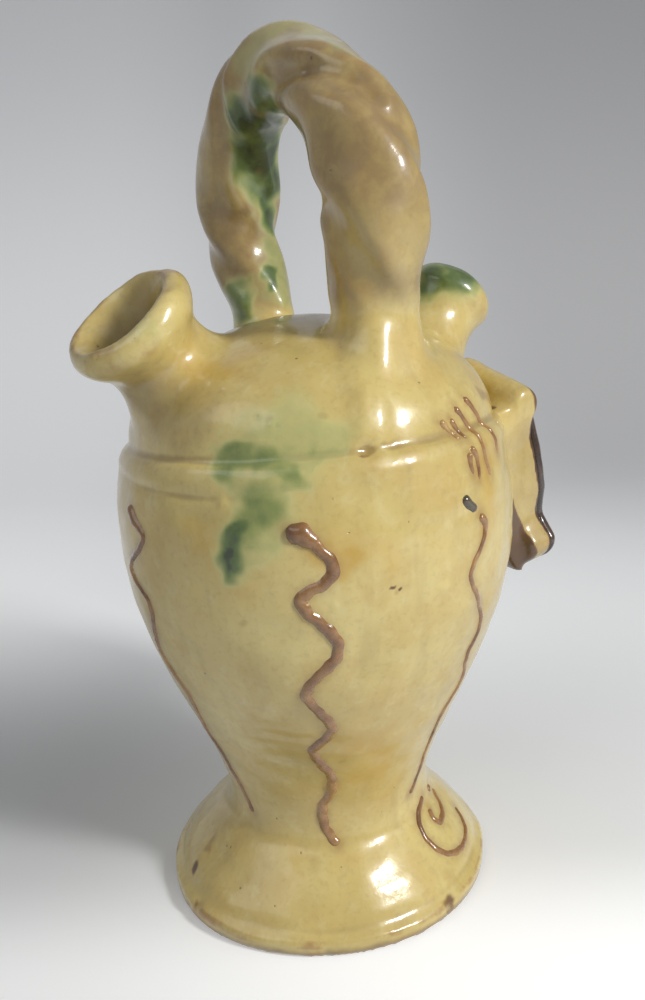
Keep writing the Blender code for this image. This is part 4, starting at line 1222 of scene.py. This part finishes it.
def make_slip(ground, brown, light, dark):
    """Lay the slip on the jug; gives back the points that it runs through."""
    courses = (TRAIL_RIGHT, TRAIL_CENTRE, TRAIL_LEFT,
               *(wavy_path(*course) for course in HIDDEN_TRAILS))
    sizes = (trail_size(0.0018, 0.0006, 0.0028, 0.0009, 0.0060, 0.9),
             trail_size(0.0033, 0.0009, 0.0066, 0.0020, 0.0085, 0.9),
             trail_size(0.0021, 0.0007, 0.0040, 0.0013, 0.0100, 0.8),
             trail_size(0.0028, 0.0010, 0.0060, 0.0021, 0.0080),
             trail_size(0.0025, 0.0009, 0.0050, 0.0017, 0.0080))
    through = []
    for number, (course, size) in enumerate(zip(courses, sizes), 1):
        skin, spots = bead_skin(ground, course, size, 40 + number)
        through += spots
        place_slip(f"slip_trail_{number}", [skin], brown)
    for word, turn in (("near", lambda path: path), ("far", mirrored)):
        for number, course in enumerate(STROKES, 1):
            size = trail_size(0.0017, 0.0006, 0.0023, 0.0009, 0.0030, 0.7)
            skin, spots = bead_skin(ground, turn(course), size, 60 + number)
            through += spots
            place_slip(f"slip_stroke_{word}_{number}", [skin], light)
        size = trail_size(0.0022, 0.0006, 0.0022, 0.0006, 0.0, 0.8)
        skins = []
        for k, course in enumerate((SNAIL, HOOK, DAB)):
            skin, spots = bead_skin(ground, turn(course), size, 80 + k)
            skins.append(skin)
            through += spots
        place_slip(f"slip_snail_{word}", skins, brown)
    skin, spots = bead_skin(ground, ((-80.2, 0.1441), (-77.8, 0.1420), (-75.4, 0.1396)),
                            trail_size(0.0032, 0.0011, 0.0032, 0.0011, 0.0, 0.9), 90)
    place_slip("slip_pellet", [skin], dark)
    return through


def halo(clay, spots):
    """Mark how near each point of the clay is to slip."""
    tree = KDTree(len(spots))
    for k, spot in enumerate(spots):
        tree.insert(spot, k)
    tree.balance()
    gap = np.array([tree.find(point)[2] for point in clay.points])
    clay.mark("slip", bell(gap, 0.0026))


def place_slip(name, skins, material):
    mesh = finished_mesh(body_of(name + " shape", skins))
    return object_of(name + "_slip", mesh, material, name, name)


# Glazes

def srgb(red, green, blue):
    """A colour as it shows on a screen, in the linear values that a shader takes."""
    def linear(value):
        value /= 255
        return value / 12.92 if value <= 0.04045 else ((value + 0.055) / 1.055) ** 2.4
    return (linear(red), linear(green), linear(blue), 1.0)


class Nodes:
    """Short calls for the nodes of a material or of the world."""

    def __init__(self, owner, shader="Principled BSDF"):
        owner.use_nodes = True
        self.owner = owner
        self.tree = owner.node_tree
        self.shader = self.tree.nodes[shader]

    def plug(self, node, inputs):
        """Give a node its inputs, each a plain value or another node's output."""
        for key, value in inputs.items():
            if isinstance(value, bpy.types.NodeSocket):
                self.tree.links.new(value, node.inputs[key])
            else:
                node.inputs[key].default_value = value

    def put(self, kind, inputs, output=0, **settings):
        node = self.tree.nodes.new(kind)
        for key, value in settings.items():
            setattr(node, key, value)
        self.plug(node, inputs)
        return node.outputs[output]

    def calc(self, operation, a, b=0.0, clamp=False):
        return self.put("ShaderNodeMath", {0: a, 1: b}, operation=operation, use_clamp=clamp)

    def times(self, a, b):
        return self.calc('MULTIPLY', a, b)

    def plus(self, a, b):
        return self.calc('ADD', a, b)

    def less(self, a, b):
        return self.calc('SUBTRACT', a, b)

    def move(self, operation, a, b):
        output = 1 if operation == 'DOT_PRODUCT' else 0
        return self.put("ShaderNodeVectorMath", {0: a, 1: b}, output, operation=operation)

    def noise(self, place, scale, detail=3.0, colour=False):
        inputs = {"Vector": place, "Scale": scale, "Detail": detail, "Roughness": 0.55}
        return self.put("ShaderNodeTexNoise", inputs, 1 if colour else 0)

    def cells(self, place, scale):
        """Distance to each cell's middle, and two random shares for the cell."""
        node = self.put("ShaderNodeTexVoronoi", {"Vector": place, "Scale": scale}).node
        shares = [self.move('DOT_PRODUCT', node.outputs[1], axis)
                  for axis in ((1.0, 0.0, 0.0), (0.0, 1.0, 0.0))]
        return node.outputs[0], *shares

    def span(self, value, low, high, start=0.0, end=1.0):
        """Smooth step of a value between two limits."""
        inputs = {"Value": value, "From Min": low, "From Max": high,
                  "To Min": start, "To Max": end}
        return self.put("ShaderNodeMapRange", inputs, interpolation_type='SMOOTHSTEP')

    def mix(self, share, a, b):
        return self.put("ShaderNodeMix", {0: share, 6: a, 7: b}, 2, data_type='RGBA')

    def tint(self, colour, share, *screen):
        """Mix a share of a screen colour into a colour."""
        return self.mix(share, colour, srgb(*screen))

    def ramp(self, share, *stops):
        """Colours along a share, each stop a position and a screen colour."""
        output = self.put("ShaderNodeValToRGB", {0: share})
        band = output.node.color_ramp.elements
        for element, stop in ((band[0], stops[0]), (band[1], stops[-1])):
            element.position = stop[0]
            element.color = srgb(*stop[1:])
        for stop in stops[1:-1]:
            band.new(stop[0]).color = srgb(*stop[1:])
        return output

    def mark(self, name):
        """Strength of a mark that the clay carries."""
        return self.put("ShaderNodeAttribute", {}, 2, attribute_name=name)

    def frayed(self, name, fray):
        """A mark with its edges broken up."""
        return self.calc('ADD', self.mark(name), self.times(fray, self.mark(name)), True)

    def bump(self, strength, distance, height):
        inputs = {"Strength": strength, "Distance": distance, "Height": height}
        return self.put("ShaderNodeBump", inputs)

    def seen(self):
        """1 on rays by which the camera sees the room, also in gloss or through glass."""
        path = self.put("ShaderNodeLightPath", {}).node.outputs
        mirrored = self.calc('MAXIMUM', path["Is Glossy Ray"], path["Is Transmission Ray"])
        return self.calc('MAXIMUM', path["Is Camera Ray"], mirrored)


def cream_glaze():
    """Straw-coloured lead glaze over pale slip, with copper splashes, iron specks and painted
    shade.
    """
    n = Nodes(bpy.data.materials.new("straw_glaze"))
    place = n.put("ShaderNodeTexCoord", {}, 3)
    stir = n.move('SUBTRACT', n.noise(place, 95.0, 2.0, True), (0.5, 0.5, 0.5))
    warped = n.move('ADD', place, n.move('MULTIPLY', stir, (0.006, 0.006, 0.006)))
    broad = n.noise(place, 17.0)
    middle = n.noise(place, 75.0, 4.0)
    cloud = n.noise(warped, 190.0, 4.0)
    fine = n.noise(place, 520.0)
    tall = n.noise(n.move('MULTIPLY', place, (110.0, 110.0, 18.0)), 1.0)
    hollow = n.mark("hollow")

    # Straw ground, cloudy and streaked, browner with painted shade on the handle, and honey in
    # places
    colour = n.ramp(broad, (0.34, 204, 180, 110), (0.50, 216, 194, 121), (0.66, 226, 207, 136))
    colour = n.tint(colour, n.times(n.span(middle, 0.44, 0.70), 0.45), 206, 172, 96)
    colour = n.tint(colour, n.times(n.span(cloud, 0.50, 0.72), 0.30), 228, 216, 160)
    colour = n.tint(colour, n.times(n.span(tall, 0.50, 0.74), 0.32), 178, 154, 92)
    colour = n.tint(colour, n.times(n.span(fine, 0.48, 0.75), 0.22), 172, 144, 84)
    # Brownish glaze with painted shade on the handle, and darker tan low on the cartouche
    brown_glaze_and_shade = n.times(n.mark("brown_glaze_and_shade"), n.span(cloud, 0.30, 0.68, 0.62, 0.86))
    colour = n.tint(colour, brown_glaze_and_shade, 140, 112, 74)
    amber = n.times(n.mark("amber"), n.span(middle, 0.25, 0.6, 0.55, 1.0))
    colour = n.tint(colour, n.times(amber, 0.80), 204, 160, 48)

    # Glaze pools in hollows and runs thin on edges
    colour = n.tint(colour, n.times(n.span(hollow, 0.08, 0.9), 0.60), 142, 112, 58)
    thin = n.times(n.span(hollow, -0.45, -1.0), n.span(middle, 0.48, 0.62))
    colour = n.tint(colour, n.times(thin, 0.6), 160, 112, 64)

    # Copper green, iron brown with painted shade, the dark throats with painted shade deep in them,
    # and the slip's brown breath
    ragged = n.times(n.less(cloud, 0.5), 0.4)
    soft = n.times(n.less(n.plus(cloud, middle), 1.0), 0.40)
    copper = n.frayed("copper", soft)
    green = n.ramp(copper, (0.0, 206, 206, 140), (0.34, 196, 206, 142), (0.58, 138, 156, 90),
                   (0.78, 100, 120, 64), (0.92, 74, 92, 50), (1.0, 54, 66, 40))
    colour = n.mix(n.span(copper, 0.0, 0.82), colour, green)
    iron_and_shade = n.frayed("iron_and_shade", ragged)
    brown = n.ramp(iron_and_shade, (0.0, 168, 130, 78), (0.5, 122, 86, 44), (1.0, 64, 42, 24))
    colour = n.mix(n.span(iron_and_shade, 0.05, 0.60), colour, brown)
    # Dark throats: brown glaze, with painted shade deep in the funnel and the bore
    colour = n.tint(colour, n.times(n.frayed("throat_glaze_and_shade", ragged), 0.90), 82, 60, 44)
    slip = n.times(n.mark("slip"), n.span(cloud, 0.30, 0.60, 0.15, 0.55))
    colour = n.tint(colour, slip, 150, 112, 62)

    # Pinholes and faint blots
    dots, luck, growth = n.cells(warped, 330.0)
    size = n.span(growth, 0.0, 1.0, 0.07, 0.19)
    speck = n.times(n.span(n.calc('DIVIDE', dots, size), 0.35, 1.0, 1.0, 0.0),
                    n.span(luck, 0.935, 0.960))
    blots, _, luck = n.cells(warped, 120.0)
    blot = n.times(n.span(blots, 0.04, 0.26, 0.26, 0.0), n.span(luck, 0.93, 0.96))
    colour = n.tint(colour, n.times(speck, 0.60), 84, 60, 36)
    colour = n.tint(colour, blot, 134, 104, 56)

    # Worn rim of the foot and its bare underside
    height = n.put("ShaderNodeSeparateXYZ", {"Vector": place}, 2)
    worn = n.plus(height, n.times(n.less(middle, 0.5), 0.005))
    colour = n.tint(colour, n.times(n.span(worn, 0.0010, 0.0036, 1.0, 0.0), 0.70), 120, 90, 54)
    bare = n.span(height, 0.0001, 0.0004, 1.0, 0.0)
    clay = n.ramp(fine, (0.3, 160, 118, 82), (0.7, 190, 150, 110))
    colour = n.mix(bare, colour, clay)

    relief = n.times(n.less(middle, 0.5), 0.22)
    relief = n.plus(relief, n.times(cloud, 0.07))
    relief = n.plus(relief, n.times(fine, 0.03))
    relief = n.less(relief, n.times(speck, 0.10))
    n.plug(n.shader, {
        "Base Color": colour,
        "Roughness": n.plus(n.span(middle, 0.3, 0.75, 0.30, 0.46), n.times(bare, 0.4)),
        "Normal": n.bump(1.0, 0.001, relief),
        "Coat Normal": n.bump(0.75, 0.001, relief),
        "Coat Weight": 0.75,
        "Coat Roughness": 0.14})
    return n.owner


def slip_glaze(name, low, middle, high):
    """Brown slip under the same glaze, cloudy between its low, middle and high colours."""
    n = Nodes(bpy.data.materials.new(name))
    place = n.put("ShaderNodeTexCoord", {}, 3)
    fine = n.noise(place, 700.0)
    colour = n.ramp(n.noise(place, 110.0), (0.32, *low), (0.50, *middle), (0.70, *high))
    n.plug(n.shader, {
        "Base Color": n.tint(colour, n.times(n.span(fine, 0.5, 0.8), 0.5), *low),
        "Roughness": n.span(fine, 0.3, 0.7, 0.20, 0.36),
        "Normal": n.bump(0.35, 0.0003, fine),
        "Coat Weight": 0.9,
        "Coat Roughness": 0.12})
    return n.owner


# Studio

def make_stage():
    """Pale floor that curves up into a grey backdrop behind the jug."""
    away = math.radians(60.0)
    ahead = Vector((math.cos(away), math.sin(away), 0))
    side = Vector((math.sin(away), -math.cos(away), 0))
    steps = 12
    line = [(FLOOR_NEAR, 0.0), (FLOOR_FAR, 0.0)]
    for k in range(1, steps + 1):
        turn = math.pi / 2 * k / steps
        line.append((FLOOR_FAR + BACKDROP_BEND * math.sin(turn),
                     BACKDROP_BEND - BACKDROP_BEND * math.cos(turn)))
    line.append((FLOOR_FAR + BACKDROP_BEND, BACKDROP_TOP))
    points = []
    for distance, height in line:
        for width in (-BACKDROP_HALF_WIDTH, BACKDROP_HALF_WIDTH):
            points.append(ahead * distance + side * width + Vector((0, 0, height - 0.0001)))
    faces = [(2 * i, 2 * i + 1, 2 * i + 3, 2 * i + 2) for i in range(len(line) - 1)]
    mesh = bpy.data.meshes.new("sweep")
    mesh.from_pydata([tuple(point) for point in points], [], faces)
    mesh.shade_smooth()
    item = bpy.data.objects.new("sweep", mesh)
    bpy.context.collection.objects.link(item)
    mesh.materials.append(stage_cloth(ahead, side))


def stage_cloth(ahead, side):
    """Pale cloth whose own glow, seen but not felt, sets the photograph's light and dark."""
    n = Nodes(bpy.data.materials.new("pale cloth"))
    place = n.put("ShaderNodeTexCoord", {}, 3)
    back = n.move('DOT_PRODUCT', place, (ahead.x, ahead.y, 0.0))
    right = n.move('DOT_PRODUCT', place, (side.x, side.y, 0.0))
    high = n.put("ShaderNodeSeparateXYZ", {"Vector": place}, 2)
    floor = n.ramp(n.noise(place, 3.0), (0.3, 220, 223, 225), (0.7, 228, 230, 232))
    # The backdrop's grey darkens towards the right: painted shade
    grey = n.mix(n.span(right, -0.45, 0.45), srgb(190, 193, 198), srgb(166, 167, 170))
    front = n.plus(n.span(back, -0.065, 0.0, 0.29, 0.03), n.span(right, -0.12, 0.05, 0.0, 0.16))
    behind = n.times(n.span(back, 0.05, 0.27, 0.0, 0.36), n.span(right, -0.30, 0.35, 1.0, 0.12))
    lift = n.times(n.plus(front, behind), n.span(high, 0.1, 0.75, 1.0, 0.45))
    n.plug(n.shader, {
        "Base Color": n.mix(n.span(back, 0.20, 0.75), floor, grey),
        "Emission Strength": n.times(n.seen(), lift),
        "Emission Color": (1.0, 1.0, 1.0, 1.0),
        "Roughness": 0.9,
        "Specular IOR Level": 0.1})
    return n.owner


def make_lamp(name, azimuth, elevation, distance, power, width, height, colour):
    data = bpy.data.lights.new(name, 'AREA')
    data.shape = 'RECTANGLE'
    data.size = width
    data.size_y = height
    data.energy = power
    data.color = colour
    item = bpy.data.objects.new(name, data)
    turn = math.radians(azimuth)
    lift = math.radians(elevation)
    item.location = (distance * math.cos(lift) * math.cos(turn),
                     distance * math.cos(lift) * math.sin(turn),
                     LAMP_AIM + distance * math.sin(lift))
    sight = Vector((0, 0, LAMP_AIM)) - item.location
    item.rotation_euler = sight.to_track_quat('-Z', 'Y').to_euler()
    bpy.context.collection.objects.link(item)


def make_lights():
    for setting in LAMPS:
        make_lamp(*setting)
    world = bpy.data.worlds.new("room")
    bpy.context.scene.world = world
    n = Nodes(world, "Background")
    levels = {"Value": n.seen(), "To Min": ROOM_LIGHT, "To Max": ROOM_SHOWN}
    n.plug(n.shader, {"Color": ROOM_COLOUR, "Strength": n.put("ShaderNodeMapRange", levels)})


def make_camera():
    pitch = CAMERA_PITCH
    ahead = Vector((math.sin(CAMERA_YAW) * math.cos(pitch),
                    math.cos(CAMERA_YAW) * math.cos(pitch), -math.sin(pitch)))
    right = Vector((math.cos(CAMERA_YAW), -math.sin(CAMERA_YAW), 0))
    up = right.cross(ahead)
    rolled_right = right * math.cos(CAMERA_ROLL) + up * math.sin(CAMERA_ROLL)
    rolled_up = up * math.cos(CAMERA_ROLL) - right * math.sin(CAMERA_ROLL)
    turn = Matrix.Rotation(CAMERA_TURN, 3, 'Z')
    axes = [turn @ axis for axis in (rolled_right, rolled_up, -ahead)]
    data = bpy.data.cameras.new("photograph")
    data.sensor_width = SENSOR
    data.lens = CAMERA_FOCAL_PIXELS * SENSOR / FRAME_HEIGHT_PIXELS
    data.clip_start = 0.01
    item = bpy.data.objects.new("photograph", data)
    matrix = Matrix((axes[0], axes[1], axes[2])).transposed().to_4x4()
    matrix.translation = turn @ Vector((0, -CAMERA_DISTANCE, CAMERA_HEIGHT))
    item.matrix_world = matrix
    bpy.context.collection.objects.link(item)
    bpy.context.scene.camera = item


def main():
    glaze = cream_glaze()
    jug, clay = make_jug(glaze)
    make_cartouche(glaze)
    make_border(slip_glaze("border_glaze", (36, 24, 18), (60, 40, 30), (90, 60, 42)))
    brown = slip_glaze("brown_slip", (112, 74, 38), (150, 106, 58), (182, 140, 84))
    light = slip_glaze("orange_slip", (134, 90, 46), (172, 126, 68), (196, 158, 98))
    dark = slip_glaze("dark_slip", (46, 38, 24), (76, 66, 44), (108, 96, 64))
    halo(clay, make_slip(Ground([jug]), brown, light, dark))
    make_stage()
    make_lights()
    make_camera()
    bpy.context.scene.view_settings.view_transform = 'Standard'


main()
